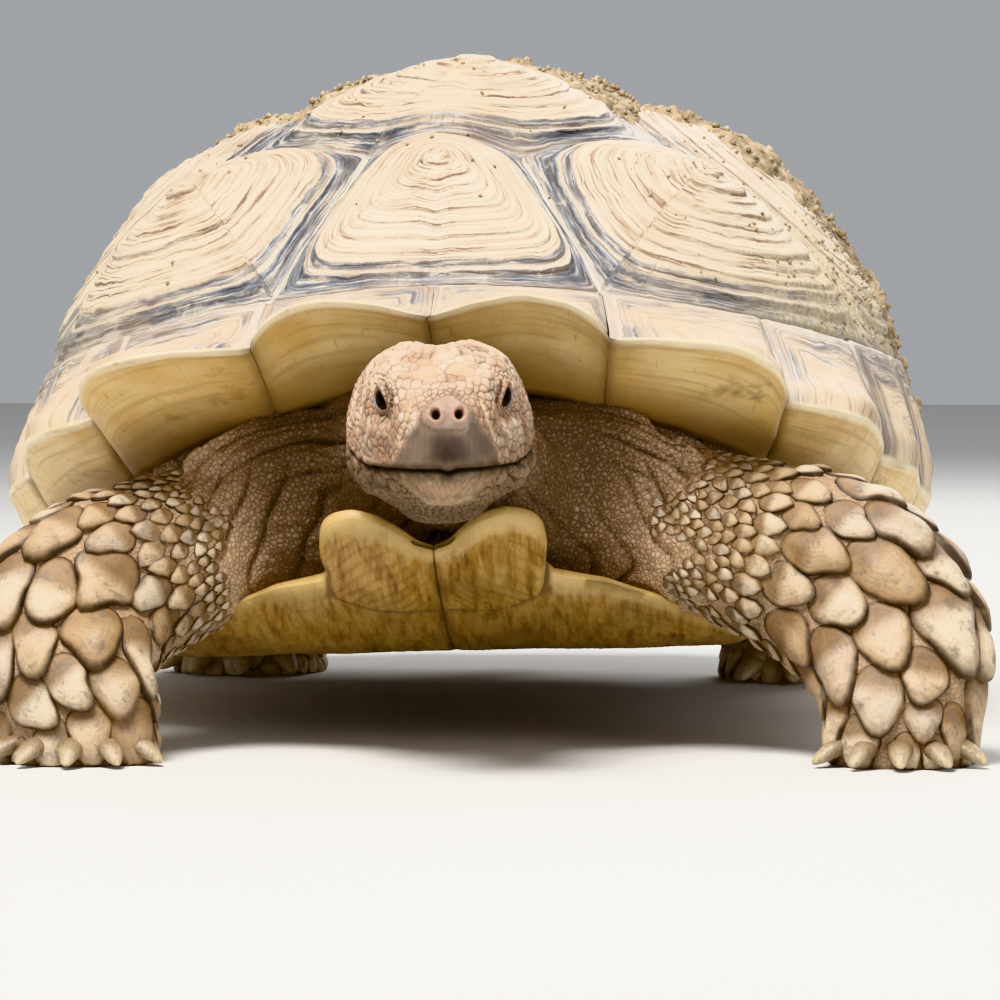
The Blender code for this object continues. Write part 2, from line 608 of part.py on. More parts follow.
def claw(name, base, tip, half_width):
    """A blunt flattened cone from base to tip."""
    base, tip = np.array(base, float), np.array(tip, float)
    axis = tip - base
    axis /= np.linalg.norm(axis)
    broad = np.cross(axis, (0, 0, 1))
    broad /= np.linalg.norm(broad)
    up = np.cross(broad, axis)
    sections = []
    for share, size in ((0.0, 1.0), (0.6, 0.85), (1.0, 0.3)):
        turn = np.linspace(0, 2 * math.pi, 6, endpoint=False)
        ring = np.outer(np.cos(turn) * half_width * size, broad)
        ring += np.outer(np.sin(turn) * half_width * 0.75 * size, up)
        sections.append(base + (tip - base) * share + ring)
    return loft(name, sections, "skin")


def foot_claws(name, table, count, size, spread, toe_in):
    """Claws fanned round the front of a foot, their tips resting on the floor."""
    foot, (wide, deep) = np.array(table[-1][0]), table[-1][1]
    length, half_width = size
    made = []
    for k in range(count):
        turn = math.radians(spread * (k / (count - 1) - 0.5) + toe_in)
        ahead = np.array([math.sin(turn), -math.cos(turn), 0.0])
        edge = foot + ahead * [wide, deep, 0]
        base = edge - ahead * 0.010 + [0, 0, half_width * 1.45]
        tip = edge + ahead * (length - 0.010) + [0, 0, half_width * 0.30]
        made.append(claw(f"{name}_claw_{k}", base, tip, half_width))
    return made


def thigh_spurs(name, table, side):
    """The conical spurs on the back of the thigh."""
    made = []
    length, half_width = THIGH_SPUR
    for k, (inward, height) in enumerate(((0.004, 0.090), (0.014, 0.068))):
        knee = np.array(table[2][0])
        base = np.array([knee[0] - side * (0.012 + inward), knee[1] + 0.036, height])
        tip = base + np.array([-side * 0.15, 0.85, -0.5]) * length
        made.append(claw(f"{name}_spur_{k}", base, tip, half_width))
    return made


def tidy_mesh(mesh):
    """Welds the slivers a Boolean can leave."""
    work = bmesh.new()
    work.from_mesh(mesh)
    bmesh.ops.remove_doubles(work, verts=work.verts, dist=WELD)
    bmesh.ops.dissolve_degenerate(work, edges=work.edges, dist=WELD)
    bmesh.ops.triangulate(work, faces=work.faces)
    work.to_mesh(mesh)
    work.free()


def apply_booleans(target, others, operation):
    """target joined with, cut by or kept inside the others, which are then removed."""
    for other in others:
        modifier = target.modifiers.new("step", "BOOLEAN")
        modifier.operation = operation
        modifier.solver = "EXACT"
        modifier.object = other
    bpy.context.view_layer.update()
    graph = bpy.context.evaluated_depsgraph_get()
    mesh = bpy.data.meshes.new_from_object(target.evaluated_get(graph))
    target.modifiers.clear()
    target.data = mesh
    tidy_mesh(mesh)
    for other in others:
        bpy.data.objects.remove(other)
    return target


def region(name, corner, axis, size, side=None):
    """A box that starts at corner and runs along axis: size is length, width, height."""
    axis = np.array(axis, float) / np.linalg.norm(axis)
    across = np.cross(axis, (0, 0, 1)) if side is None else np.array(side, float)
    across /= np.linalg.norm(across)
    up = np.cross(across, axis)
    sections = []
    for share in (0, 1):
        ring = [(1, 1), (-1, 1), (-1, -1), (1, -1)]
        middle = np.array(corner) + axis * size[0] * share
        sections.append(np.array([middle + across * size[1] * a + up * size[2] * b for a, b in ring]))
    return cutter(loft(name, sections, "skin"))


def copy_of(source, name):
    made = source.copy()
    made.data = source.data.copy()
    made.name = name
    bpy.context.scene.collection.objects.link(made)
    return made


def part_flesh(whole):
    """Parts the joined flesh with thin flat cuts into named solids."""
    neck_cut = leaned((0.0, -0.262, 0.14))
    head_cut = from_head((0.0, 0.004, 0.0))[0]
    head_axis = from_head((0.0, 1.0, 0.0))[0] - from_head((0.0, 0.0, 0.0))[0]
    cuts = {
        "head": (head_cut, head_axis, (0.20, 0.058, 0.070)),
        "neck": (neck_cut, (0, -1, 0), (0.30, 0.075, 0.090)),
        "foreleg_right": ((-0.112, -0.236, 0.084), (-0.80, -0.60, 0), (0.25, 0.090, 0.088)),
        "foreleg_left": ((0.116, -0.234, 0.084), (0.84, -0.54, 0), (0.25, 0.090, 0.088)),
        "hindleg_right": ((-0.118, 0.190, 0.081), (-0.62, 0.62, 0), (0.30, 0.085, 0.085)),
        "hindleg_left": ((0.120, 0.168, 0.081), (0.66, 0.58, 0), (0.30, 0.085, 0.085)),
        "tail": (leaned((0.0, 0.248, 0.10)), (0.05, 0.8, -0.6), (0.15, 0.050, 0.060)),
    }
    names = list(cuts)
    for name in names:
        corner, axis, size = cuts[name]
        solid = copy_of(whole, name)
        apply_booleans(solid, [region(f"keep_{name}", corner, axis, size)], "INTERSECT")
        if name == "neck":
            clear = region("clear_head", head_cut - head_axis * GAP, head_axis, (0.22, 0.09, 0.09))
            apply_booleans(solid, [clear], "DIFFERENCE")
    for name in names:
        corner, axis, size = cuts[name]
        axis = np.array(axis, float) / np.linalg.norm(axis)
        grown = (size[0], size[1] + GAP, size[2] + GAP)
        if name == "head":
            continue
        apply_booleans(whole, [region(f"clear_{name}", corner - axis * GAP, axis, grown)], "DIFFERENCE")
    whole.name = "trunk"


def finish_head():
    """Sets the eyes in sockets and cuts the lower jaw free along the mouth."""
    head = bpy.data.objects["head"]
    for side, word in ((1, "left"), (-1, "right")):
        centre = from_head((side * EYE_PLACE[0], EYE_PLACE[1], EYE_PLACE[2]))[0]
        socket = ball("socket", centre, EYE_RADIUS + GAP, "eye")
        apply_booleans(head, [socket], "DIFFERENCE")
        ball(f"eye_{word}", centre, EYE_RADIUS, "eye")
    corner = from_head((0, MOUTH_BACK, MOUTH_HEIGHT - 0.05))[0]
    axis = from_head((0, 1, 0))[0] - from_head((0, 0, 0))[0]
    jaw = copy_of(head, "lower_jaw")
    apply_booleans(jaw, [region("keep_jaw", corner, axis, (0.12, 0.07, 0.05))], "INTERSECT")
    clear = region("clear_jaw", corner - axis * GAP, axis, (0.12, 0.08, 0.05 + GAP))
    apply_booleans(head, [clear], "DIFFERENCE")


def ball(name, centre, radius, kind):
    work = bmesh.new()
    bmesh.ops.create_uvsphere(work, u_segments=10, v_segments=7, radius=radius)
    mesh = bpy.data.meshes.new(name)
    work.to_mesh(mesh)
    work.free()
    mesh.transform(Matrix.Translation(Vector(centre)))
    mesh.shade_smooth()
    mesh.materials.append(material(kind))
    made = bpy.data.objects.new(name, mesh)
    bpy.context.scene.collection.objects.link(made)
    return made


def carapace_room():
    """A cutter that fills the carapace and the space above it."""
    turn = np.radians(np.arange(0, 360, 10.0))
    unit = np.stack([np.sin(turn), -np.cos(turn)], axis=1)
    rings = [dome(unit * r) - dome_normals(unit * r) * (PLATE + ROOM) for r in (0.3, 0.58, 0.79)]
    lip = blend_round(turn, FRONT_LIP, SIDE_LIP, REAR_LIP, RIM_SQUARENESS)
    rim = dome(unit)
    rings.append(lip * [0.985, 0.985, 1] - [0, 0, 0.003])
    rings.append(lip * 0.45 + rim * 0.55 - [0, 0, 0.009])
    rings.append(rim * [1.05, 1.05, 1] - [0, 0, 0.012])
    rings += [dome(unit * r) + [0, 0, 0.08] for r in (1.0, 0.5)]
    count = len(turn)
    points = np.concatenate([*rings, dome([[0, 0]]) - [0, 0, PLATE + ROOM], dome([[0, 0]]) + [0, 0, 0.08]])
    low, high = len(points) - 2, len(points) - 1
    last = (len(rings) - 1) * count
    faces = bands(len(rings), count)
    faces += [((k + 1) % count, k, low) for k in range(count)]
    faces += [(last + k, last + (k + 1) % count, high) for k in range(count)]
    return cutter(add_object("carapace_room", leaned(points), faces, "skin"))


def plastron_room():
    """A cutter that fills the plastron and the space below it, down past the floor."""
    across = np.linspace(-1, 1, 13)
    top, low = [], []
    for y, half in PLASTRON_EDGE:
        x = across * (half + ROOM)
        height = plastron_under(x, np.full(len(x), y)) + PLATE + ROOM
        top.append(np.stack([x, np.full(len(x), y), height], axis=1))
        low.append(np.stack([x, np.full(len(x), y), height - 0.045], axis=1))
    sections = [np.concatenate([a, b[::-1]]) for a, b in zip(top, low)]
    return cutter(loft("plastron_room", [leaned(s) for s in sections], "skin"))


def cutter(made):
    made.hide_render = True
    made.display_type = "WIRE"
    return made


def make_flesh():
    whole = make_trunk()
    joined = [limb("neck_form", list(zip(NECK_PATH, NECK_SIZES)), 5, 14), make_head()]
    for name, table in (("foreleg_r", FORELEG_RIGHT), ("foreleg_l", FORELEG_LEFT)):
        joined.append(limb(name, table, 9, 14))
        joined += foot_claws(name, table, FORE_CLAWS, FORE_CLAW, 110, 0)
    for name, table, side in (("hindleg_r", HINDLEG_RIGHT, -1), ("hindleg_l", HINDLEG_LEFT, 1)):
        joined.append(limb(name, table, 7, 14))
        joined += foot_claws(name, table, HIND_CLAWS, HIND_CLAW, 95, side * 15)
        joined += thigh_spurs(name, table, side)
    joined.append(limb("tail_form", TAIL, 5, 8))
    apply_booleans(whole, joined, "UNION")
    apply_booleans(whole, [carapace_room(), plastron_room()], "DIFFERENCE")
    part_flesh(whole)
    finish_head()


def centre_on_floor():
    """Moves everything so that the box's bottom middle is the origin."""
    solids = [o for o in bpy.context.scene.objects if o.type == "MESH"]
    points = np.array([v.co for o in solids for v in o.data.vertices])
    low, high = points.min(axis=0), points.max(axis=0)
    shift = Vector((-(low[0] + high[0]) / 2, -(low[1] + high[1]) / 2, -low[2]))
    for solid in solids:
        solid.data.transform(Matrix.Translation(shift))


def main():
    for old in list(bpy.data.objects):
        bpy.data.objects.remove(old)
    make_carapace()
    make_plastron()
    make_flesh()
    centre_on_floor()


main()
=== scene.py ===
import math

import bmesh
import bpy
import numpy as np
from mathutils import Matrix, Vector
from mathutils.bvhtree import BVHTree
from mathutils.kdtree import KDTree


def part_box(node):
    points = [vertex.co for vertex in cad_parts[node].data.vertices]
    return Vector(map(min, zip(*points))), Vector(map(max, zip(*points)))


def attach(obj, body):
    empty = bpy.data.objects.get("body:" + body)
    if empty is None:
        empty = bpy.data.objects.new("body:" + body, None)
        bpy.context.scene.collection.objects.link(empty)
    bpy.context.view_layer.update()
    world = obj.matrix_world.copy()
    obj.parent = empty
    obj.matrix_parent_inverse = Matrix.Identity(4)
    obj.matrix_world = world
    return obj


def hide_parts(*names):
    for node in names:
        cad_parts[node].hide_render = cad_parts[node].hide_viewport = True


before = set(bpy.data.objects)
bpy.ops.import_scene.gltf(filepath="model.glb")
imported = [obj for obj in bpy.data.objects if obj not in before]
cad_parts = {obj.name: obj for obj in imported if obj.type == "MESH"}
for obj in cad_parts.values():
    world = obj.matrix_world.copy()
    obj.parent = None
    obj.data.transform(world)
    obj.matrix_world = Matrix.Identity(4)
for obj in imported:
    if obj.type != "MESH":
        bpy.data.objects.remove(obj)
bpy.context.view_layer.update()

# ---- the animal's form, in metres. It faces -Y and its own left is +X -----------------
ROLL = math.radians(1.5)  # the shell leans towards the animal's right
ROLL_HEIGHT = 0.10  # of the line it leans about
SEAM_RING = 0.80  # the carapace is a unit disc in plan; its rim scutes start at this radius
RIM_SQUARENESS = 0.5
FRONT_MERIDIAN = (  # radius on the disc, distance from the middle, height
    (0.0, 0.000, 0.346), (0.2, 0.080, 0.343), (0.4, 0.155, 0.325), (0.6, 0.218, 0.285),
    (0.8, 0.268, 0.238), (0.9, 0.295, 0.224), (1.0, 0.320, 0.222),
)
SIDE_MERIDIAN = (
    (0.0, 0.000, 0.346), (0.2, 0.076, 0.337), (0.4, 0.142, 0.304), (0.6, 0.197, 0.251),
    (0.8, 0.236, 0.190), (0.9, 0.246, 0.151), (1.0, 0.249, 0.112),
)
REAR_MERIDIAN = (
    (0.0, 0.000, 0.346), (0.2, 0.082, 0.341), (0.4, 0.160, 0.314), (0.6, 0.226, 0.262),
    (0.8, 0.276, 0.186), (0.9, 0.298, 0.140), (1.0, 0.318, 0.104),
)
FRONT_LIP, SIDE_LIP, REAR_LIP = (0.262, 0.184), (0.232, 0.084), (0.286, 0.128)  # reach, height
RIM_SEAMS = (0, 20.5, 41.5, 58, 72, 85, 98, 111, 125, 140, 154, 168, 180)  # degrees from the front
RIM_LOBES = (  # how far each rim scute's free tip stands out, and how far up
    (0.016, 0.014), (0.024, 0.013), (0.012, 0.008), (0.005, 0.003), (0.003, 0.0), (0.003, 0.0),
    (0.004, 0.0), (0.009, 0.002), (0.014, 0.004), (0.014, 0.004), (0.011, 0.002), (0.004, -0.004),
)
EXTRA_FLARE = {"marginal_2_right": 0.015}
LOBE_PEAK = 1.5  # above 1 the tip lies behind the scute's middle
# Corners of the vertebrals on the disc: where two meet, and their side corners between.
VERTEBRAL_ENDS = ((0.112, -0.50), (0.19, -0.14), (0.19, 0.20), (0.15, 0.52))
VERTEBRAL_SIDES = ((0.30, -0.31), (0.31, 0.03), (0.28, 0.37))
COSTAL_SEAMS = (65, 91.5, 118, 161)  # degrees from the front, where they reach the rim
VERTEBRAL_PEAKS = (0.010, 0.021, 0.014, 0.014, 0.012)  # how far each areola stands up
COSTAL_PEAK = 0.013
V2_LEAN = 0.035  # the second vertebral's areola lies this far to the animal's left
AREOLA_SHIFT = 0.10  # share of the way from a costal's middle to the top of the shell
PLATE = 0.010  # thickness of the shell's plates
PLASTRON_PROFILE = (  # distance along, height of the underside at the mid-line
    (-0.345, 0.117), (-0.320, 0.103), (-0.295, 0.088), (-0.270, 0.073), (-0.245, 0.060),
    (-0.200, 0.047), (-0.150, 0.045), (0.0, 0.048), (0.15, 0.045), (0.20, 0.046), (0.27, 0.056),
)
BRIDGE_START, BRIDGE_END = 0.14, 0.19  # from the mid-line out, and its half length
HEAD_PLACE = (0.0032, -0.318, 0.1655)
HEAD_YAW, HEAD_PITCH = math.radians(7.3), math.radians(1.0)
EYE_PLACE, EYE_RADIUS = (0.0240, 0.0860, 0.0200), 0.0088


# ---- numbers and noise ----------------------------------------------------------------
LATTICE = np.random.default_rng(7).uniform(-1, 1, 65536)


def noise(points, size, seed=0):
    """Smooth noise from -1 to 1 whose features are about size across."""
    p = np.asarray(points, float) / size + 13.7 * (seed + 1)
    cell = np.floor(p).astype(np.int64)
    f = p - cell
    f = f * f * (3 - 2 * f)
    total = 0.0
    for corner in range(8):
        step = np.array([corner & 1, corner >> 1 & 1, corner >> 2 & 1])
        w = np.prod(np.where(step, f, 1 - f), axis=-1)
        c = cell + step
        key = (c[..., 0] * 73856093) ^ (c[..., 1] * 19349663) ^ (c[..., 2] * 83492791) ^ (seed * 7919)
        total = total + w * LATTICE[key & 65535]
    return total


def noise3(points, size, seed=0):
    """Three noises at once, for shifting points."""
    return np.stack([noise(points, size, seed + k) for k in (0, 1, 2)], axis=-1)


def step(x, low, high):
    """0 below low, 1 above high, smooth between. low may be above high."""
    t = np.clip((np.asarray(x, float) - low) / (high - low), 0, 1)
    return t * t * (3 - 2 * t)


def hump(x, width):
    """A smooth hump: 1 where x is 0, almost 0 beyond twice the width."""
    return np.exp(-((x / width) ** 2))


def smooth(x, xs, ys):
    """A smooth curve through the points (xs, ys), read at x."""
    x, xs, ys = np.asarray(x, float), np.asarray(xs, float), np.asarray(ys, float)
    slopes = np.gradient(ys, xs, axis=0)
    i = np.clip(np.searchsorted(xs, x) - 1, 0, len(xs) - 2)
    width = xs[i + 1] - xs[i]
    t = np.clip((x - xs[i]) / width, 0.0, 1.0)
    if ys.ndim > 1:
        t, width = t[..., None], width[..., None]
    return (
        ys[i] * (1 + 2 * t) * (1 - t) ** 2 + slopes[i] * width * t * (1 - t) ** 2
        + ys[i + 1] * t * t * (3 - 2 * t) + slopes[i + 1] * width * t * t * (t - 1)
    )


def unit(v):
    """Vectors of length 1."""
    v = np.asarray(v, float)
    return v / np.maximum(np.linalg.norm(v, axis=-1, keepdims=True), 1e-12)


# ---- the shell's form -----------------------------------------------------------------
def meridian(table, radius):
    """Distance from the middle and height along one profile of the dome, at these radii."""
    r, reach, height = np.array(table).T
    both = np.concatenate([-r[:0:-1], r])
    reaches = np.concatenate([-reach[:0:-1], reach])
    heights = np.concatenate([height[:0:-1], height])
    return smooth(radius, both, reaches), smooth(radius, both, heights)


def blend_round(angle, front, side, rear, squareness):
    """Points round the shell, from what they are in front, at the side and behind."""
    s, c = np.sin(angle), np.cos(angle)
    power = 2 + squareness
    swell = (np.abs(s) ** power + np.abs(c) ** power) ** (-1 / power)
    ahead = c > 0
    reach = np.where(ahead, front[0], rear[0])
    height = side[1] * s * s + np.where(ahead, front[1], rear[1]) * c * c
    return np.stack([side[0] * s * swell, -reach * c * swell, height], axis=-1)


def dome(at):
    """The carapace with no relief, over the unit disc. at is (..., 2)."""
    at = np.asarray(at, float)
    radius = np.hypot(at[..., 0], at[..., 1])
    angle = np.arctan2(at[..., 0], -at[..., 1])
    meridians = (meridian(m, radius) for m in (FRONT_MERIDIAN, SIDE_MERIDIAN, REAR_MERIDIAN))
    return blend_round(angle, *meridians, RIM_SQUARENESS * radius**2)


def dome_normals(at):
    """Outward normals of the dome."""
    at, d = np.asarray(at, float), 1e-3
    across = dome(at + [d, 0]) - dome(at - [d, 0])
    along = dome(at + [0, d]) - dome(at - [0, d])
    return unit(np.cross(across, along))


def leaned(points):
    """Points of the upright form, leaned with the shell."""
    p = np.array(points, float)
    x, z = p[..., 0].copy(), p[..., 2] - ROLL_HEIGHT
    p[..., 0] = x * math.cos(ROLL) - z * math.sin(ROLL)
    p[..., 2] = x * math.sin(ROLL) + z * math.cos(ROLL) + ROLL_HEIGHT
    return p


def head_matrix():
    """Where the head's own axes lie in the form's frame."""
    turn = Matrix.Rotation(HEAD_YAW, 4, "Z") @ Matrix.Rotation(HEAD_PITCH, 4, "X")
    place = Vector(leaned(HEAD_PLACE))
    return Matrix.Translation(place) @ Matrix.Rotation(-ROLL, 4, "Y") @ turn


HEAD = np.array(head_matrix())


def from_head(points):
    """Points beside, along and above the head's axis, in the form's frame."""
    p = np.atleast_2d(np.array(points, float))
    local = np.stack([p[:, 0], -p[:, 1], p[:, 2]], axis=1)
    return local @ HEAD[:3, :3].T + HEAD[:3, 3]


def to_head(points):
    """Beside, along and above the head's axis."""
    local = (np.asarray(points) - HEAD[:3, 3]) @ HEAD[:3, :3]
    return local * [1, -1, 1]


# The form above is about the shell's middle; the model stands about its box's middle.
eye_low, eye_high = (np.array(c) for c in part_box("eye_left"))
SHIFT = (eye_low + eye_high) / 2 - from_head(EYE_PLACE)[0]


def on_ring(degrees, radius=SEAM_RING):
    """Places on a circle of the disc, by degrees round from the front."""
    a = np.radians(degrees)
    return np.stack([radius * np.sin(a), -radius * np.cos(a)], axis=-1)


# ---- meshes ---------------------------------------------------------------------------
def add_mesh(name, points, faces, shader, values=(), uvs=None):
    """A piece from points and faces in the form's frame. values are point attributes."""
    mesh = bpy.data.meshes.new(name)
    faces = faces.tolist() if isinstance(faces, np.ndarray) else faces
    mesh.from_pydata((np.asarray(points) + SHIFT).tolist(), [], faces)
    for key, value in dict(values).items():
        layer = mesh.attributes.new(key, "FLOAT", "POINT")
        layer.data.foreach_set("value", np.asarray(value, np.float32).ravel())
    if uvs is not None:
        corner = np.empty(len(mesh.loops), np.int32)
        mesh.loops.foreach_get("vertex_index", corner)
        layer = mesh.uv_layers.new(name="OFBake")
        layer.data.foreach_set("uv", np.asarray(uvs, np.float32)[corner].ravel())
    mesh.shade_smooth()
    mesh.materials.append(shader)
    made = bpy.data.objects.new(name, mesh)
    bpy.context.scene.collection.objects.link(made)
    return made


def grid_faces(rows, columns, closed=False):
    """Quads over a grid of rows by columns of points, closed round the columns or not."""
    r = np.arange(rows - 1)[:, None]
    c = np.arange(columns if closed else columns - 1)[None, :]
    after = (c + 1) % columns
    here, next_row = r * columns, (r + 1) * columns
    return np.stack([here + c, here + after, next_row + after, next_row + c], axis=-1).reshape(-1, 4)


def settle(piece, slot, *nodes):
    """The piece rides on the body and stands for these CAD nodes; slot is not used."""
    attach(piece, "root")
    if nodes:
        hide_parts(*nodes)
    return piece


# ---- materials ------------------------------------------------------------------------
def srgb(*parts):
    """A colour in Blender's own light units, from the usual 0 to 255."""
    c = np.array(parts, float) / 255
    return tuple(np.where(c <= 0.04045, c / 12.92, ((c + 0.055) / 1.055) ** 2.4))


class Shader:
    """A node material whose parts are called like functions."""

    def __init__(self, name):
        self.material = bpy.data.materials.new(name)
        self.material.use_nodes = True
        self.tree = self.material.node_tree
        self.tree.nodes.clear()
        self.end = self.tree.nodes.new("ShaderNodeOutputMaterial")
        self.surface = self.node("BsdfPrincipled")
        self.tree.links.new(self.surface.outputs[0], self.end.inputs[0])
        self.place = self.node("TexCoord").outputs["Object"]

    def node(self, kind, **settings):
        made = self.tree.nodes.new("ShaderNode" + kind)
        for key, value in settings.items():
            setattr(made, key, value)
        return made

    def put(self, socket, value):
        """Links the socket to another node's output, or sets its value."""
        if isinstance(value, bpy.types.NodeSocket):
            self.tree.links.new(value, socket)
        elif isinstance(value, (tuple, list)) and len(value) == 3 and socket.type == "RGBA":
            socket.default_value = (*value, 1)
        else:
            socket.default_value = value

    def attribute(self, name):
        return self.node("Attribute", attribute_name=name).outputs["Fac"]

    def maths(self, operation, *values):
        made = self.node("Math", operation=operation)
        for socket, value in zip(made.inputs, values):
            self.put(socket, value)
        return made.outputs[0]

    def mix(self, share, a, b, mode="MIX"):
        """a where share is 0, b where it is 1."""
        made = self.node("Mix", data_type="RGBA", blend_type=mode, clamp_factor=True)
        self.put(made.inputs[0], share)
        self.put(made.inputs[6], a)
        self.put(made.inputs[7], b)
        return made.outputs[2]

    def layer(self, below, colour, value, *stops):
        """A colour laid over below as thickly as value says, through a ramp if it has stops."""
        return self.mix(self.ramp(value, *stops) if stops else value, below, colour)

    def spread(self, value, scale, shift):
        """value times scale, plus shift."""
        return self.maths("MULTIPLY_ADD", value, scale, shift)

    def times(self, a, b):
        return self.maths("MULTIPLY", a, b)

    def blend(self, share, a, b):
        """The same as mix for plain numbers."""
        made = self.node("Mix", data_type="FLOAT", clamp_factor=True)
        self.put(made.inputs[0], share)
        self.put(made.inputs[2], a)
        self.put(made.inputs[3], b)
        return made.outputs[0]

    def noise(self, size, detail=3.0, roughness=0.55, stretch=(1, 1, 1), offset=0.0):
        """Noise from 0 to 1 with features about size across, drawn out where stretch is small."""
        place = self.place
        if offset or stretch != (1, 1, 1):
            moved = self.node("Mapping")
            self.put(moved.inputs["Vector"], place)
            moved.inputs["Scale"].default_value = stretch
            moved.inputs["Location"].default_value = (offset, offset, offset)
            place = moved.outputs[0]
        return self.noise_at(place, 1.0 / size, detail, roughness)

    def noise_at(self, place, scale, detail, roughness):
        made = self.node("TexNoise")
        settings = {"Vector": place, "Scale": scale, "Detail": detail, "Roughness": roughness}
        for name, value in settings.items():
            self.put(made.inputs[name], value)
        return made.outputs["Fac"]

    def cells(self, size, feature="F1"):
        """Distance to the nearest of scattered points, or to the edge of its cell."""
        made = self.node("TexVoronoi", feature=feature)
        self.put(made.inputs["Vector"], self.place)
        self.put(made.inputs["Scale"], 1.0 / size)
        return made.outputs["Distance"]

    def ramp(self, value, *stops):
        """Grey or colour by value. Each stop is a place and a grey level or a colour."""
        made = self.node("ValToRGB")
        bar = made.color_ramp
        while len(bar.elements) < len(stops):
            bar.elements.new(0.5)
        for element, (at, colour) in zip(bar.elements, stops):
            element.position = at
            element.color = (*colour, 1) if isinstance(colour, tuple) else (colour, colour, colour, 1)
        self.put(made.inputs[0], value)
        return made.outputs[0]

    def bump(self, height, depth):
        made = self.node("Bump")
        made.inputs["Distance"].default_value = depth
        self.put(made.inputs["Height"], height)
        return made.outputs[0]

    def finish(self, colour, roughness, normal=None, specular=0.5):
        self.put(self.surface.inputs["Base Color"], colour)
        self.put(self.surface.inputs["Roughness"], roughness)
        self.surface.inputs["Specular IOR Level"].default_value = specular
        if normal is not None:
            self.put(self.surface.inputs["Normal"], normal)
        return self.material


def strands(s, around, at, length, count, detail=3.0, offset=0.0):
    """Noise drawn out along the growth rings: count turns from middle to edge."""
    place = s.node("CombineXYZ")
    s.put(place.inputs[0], s.times(around, 1 / length))
    s.put(place.inputs[1], s.spread(at, count, offset))
    return s.noise_at(place.outputs[0], 1.0, detail, 0.6)


def carapace_material():
    """Horn with growth rings: cream and tan plates, streaked slate at the seams, painted shade down the
    growth steps' drops, sand on the animal's left and a thin painted pale light on its right flank.
    """
    s = Shader("carapace_horn")
    names = ("ring", "shade", "terrace_shade", "around", "dust_and_pale_light")
    ring, shade, terrace_shade, around, dust_and_pale_light = (s.attribute(n) for n in names)
    broad = s.noise(0.035, 4)
    at = s.maths("ADD", ring, s.spread(s.noise(0.016, 4), 0.05, -0.025))
    colour = s.ramp(
        at, (0.0, (0.36, 0.225, 0.13)), (0.12, (0.45, 0.31, 0.20)), (0.26, (0.64, 0.50, 0.36)),
        (0.70, (0.70, 0.56, 0.42)), (0.80, (0.62, 0.48, 0.34)), (1.0, (0.56, 0.44, 0.32)),
    )
    bands = strands(s, around, at, 0.30, 14.0, 2.0, 3.0)
    colour = s.layer(colour, (0.42, 0.275, 0.165), bands, (0.48, 0.0), (0.62, 0.9))
    colour = s.mix(s.ramp(bands, (0.44, 0.5), (0.30, 0.0)), (0.84, 0.72, 0.56), colour)
    lines = strands(s, around, at, 0.11, 62.0)
    dark = s.times(s.ramp(lines, (0.48, 0.0), (0.58, 0.92)), s.ramp(broad, (0.34, 0.40), (0.56, 1.0)))
    colour = s.layer(colour, (0.22, 0.13, 0.075), dark)
    streak = strands(s, around, at, 0.030, 44.0, offset=7.0)
    slate = s.ramp(streak, (0.34, (0.026, 0.029, 0.037)), (0.47, (0.082, 0.090, 0.110)),
                   (0.56, (0.21, 0.22, 0.235)), (0.66, (0.52, 0.44, 0.35)))
    zone = s.ramp(at, (0.775, 0.0), (0.795, 1.0), (0.825, 0.75), (0.85, 0.25), (0.875, 1.0),
                  (0.96, 0.95), (0.985, 0.5))
    there = s.ramp(s.noise(0.06, 3, 0.6, offset=9.0), (0.36, 0.55), (0.50, 1.0))
    colour = s.layer(colour, slate, s.times(zone, there))
    # painted shade: dark brown down the drop of each growth step
    step_shade = s.times(terrace_shade, s.ramp(broad, (0.3, 0.5), (0.6, 0.95)))
    colour = s.layer(colour, (0.10, 0.06, 0.035), step_shade)
    colour = s.layer(colour, (0.74, 0.73, 0.70), ring, (0.984, 0.0), (0.994, 0.75))
    colour = s.layer(colour, (0.82, 0.72, 0.58), s.noise(0.011, 5, 0.7), (0.57, 0.0), (0.75, 0.4))
    colour = s.layer(colour, (0.40, 0.27, 0.16), s.noise(0.05, 4, 0.6, offset=3.0), (0.52, 0.0), (0.8, 0.5))
    split = strands(s, around, at, 0.0016, 3.0)
    colour = s.layer(colour, (0.24, 0.155, 0.09), split, (0.60, 0.0), (0.74, 0.35))
    colour = s.layer(colour, (0.88, 0.80, 0.68), shade, (0.85, 0.0), (1.0, 0.6))
    shading = s.ramp(shade, (0.0, (0.86, 0.84, 0.80)), (0.6, (1.0, 1.0, 1.0)))
    colour = s.mix(0.8, colour, shading, "MULTIPLY")
    grit = s.ramp(s.noise(0.0030, 4, 0.7, offset=1.0), (0.30, (0.33, 0.26, 0.165)),
                  (0.55, (0.55, 0.465, 0.32)), (0.72, (0.68, 0.60, 0.45)))
    # sand on the animal's left; on its right flank the same pale grit is painted light, standing for that
    # flank lit paler
    laid = s.times(dust_and_pale_light, s.ramp(s.noise(0.016, 5, 0.7, offset=6.0), (0.34, 0.15), (0.52, 1.0)))
    colour = s.layer(colour, grit, laid)
    rough = s.maths("MAXIMUM", s.ramp(s.noise(0.02, 4), (0.3, 0.36), (0.7, 0.60)), s.times(laid, 0.95))
    height = s.spread(lines, -2.4, s.times(streak, 0.8))
    height = s.spread(s.noise(0.004, 4, 0.65), 1.2, height)
    height = s.spread(s.ramp(split, (0.58, 1.0), (0.74, 0.0)), 0.7, height)
    return s.finish(colour, rough, s.bump(height, 0.0003), 0.4)


# ---- carapace -------------------------------------------------------------------------
AROUND, OUTWARD = 156, 92  # points round a scute, and from its areola to its edge
EDGE_POINTS = 60  # points read along each straight edge or arc of a scute's outline
EDGE_GAP = 0.0003
TERRACES = 12  # growth steps of a costal; a vertebral has one less
TALLER = {"vertebral_1": 1.3, "costal_1_left": 1.7, "costal_1_right": 1.7}


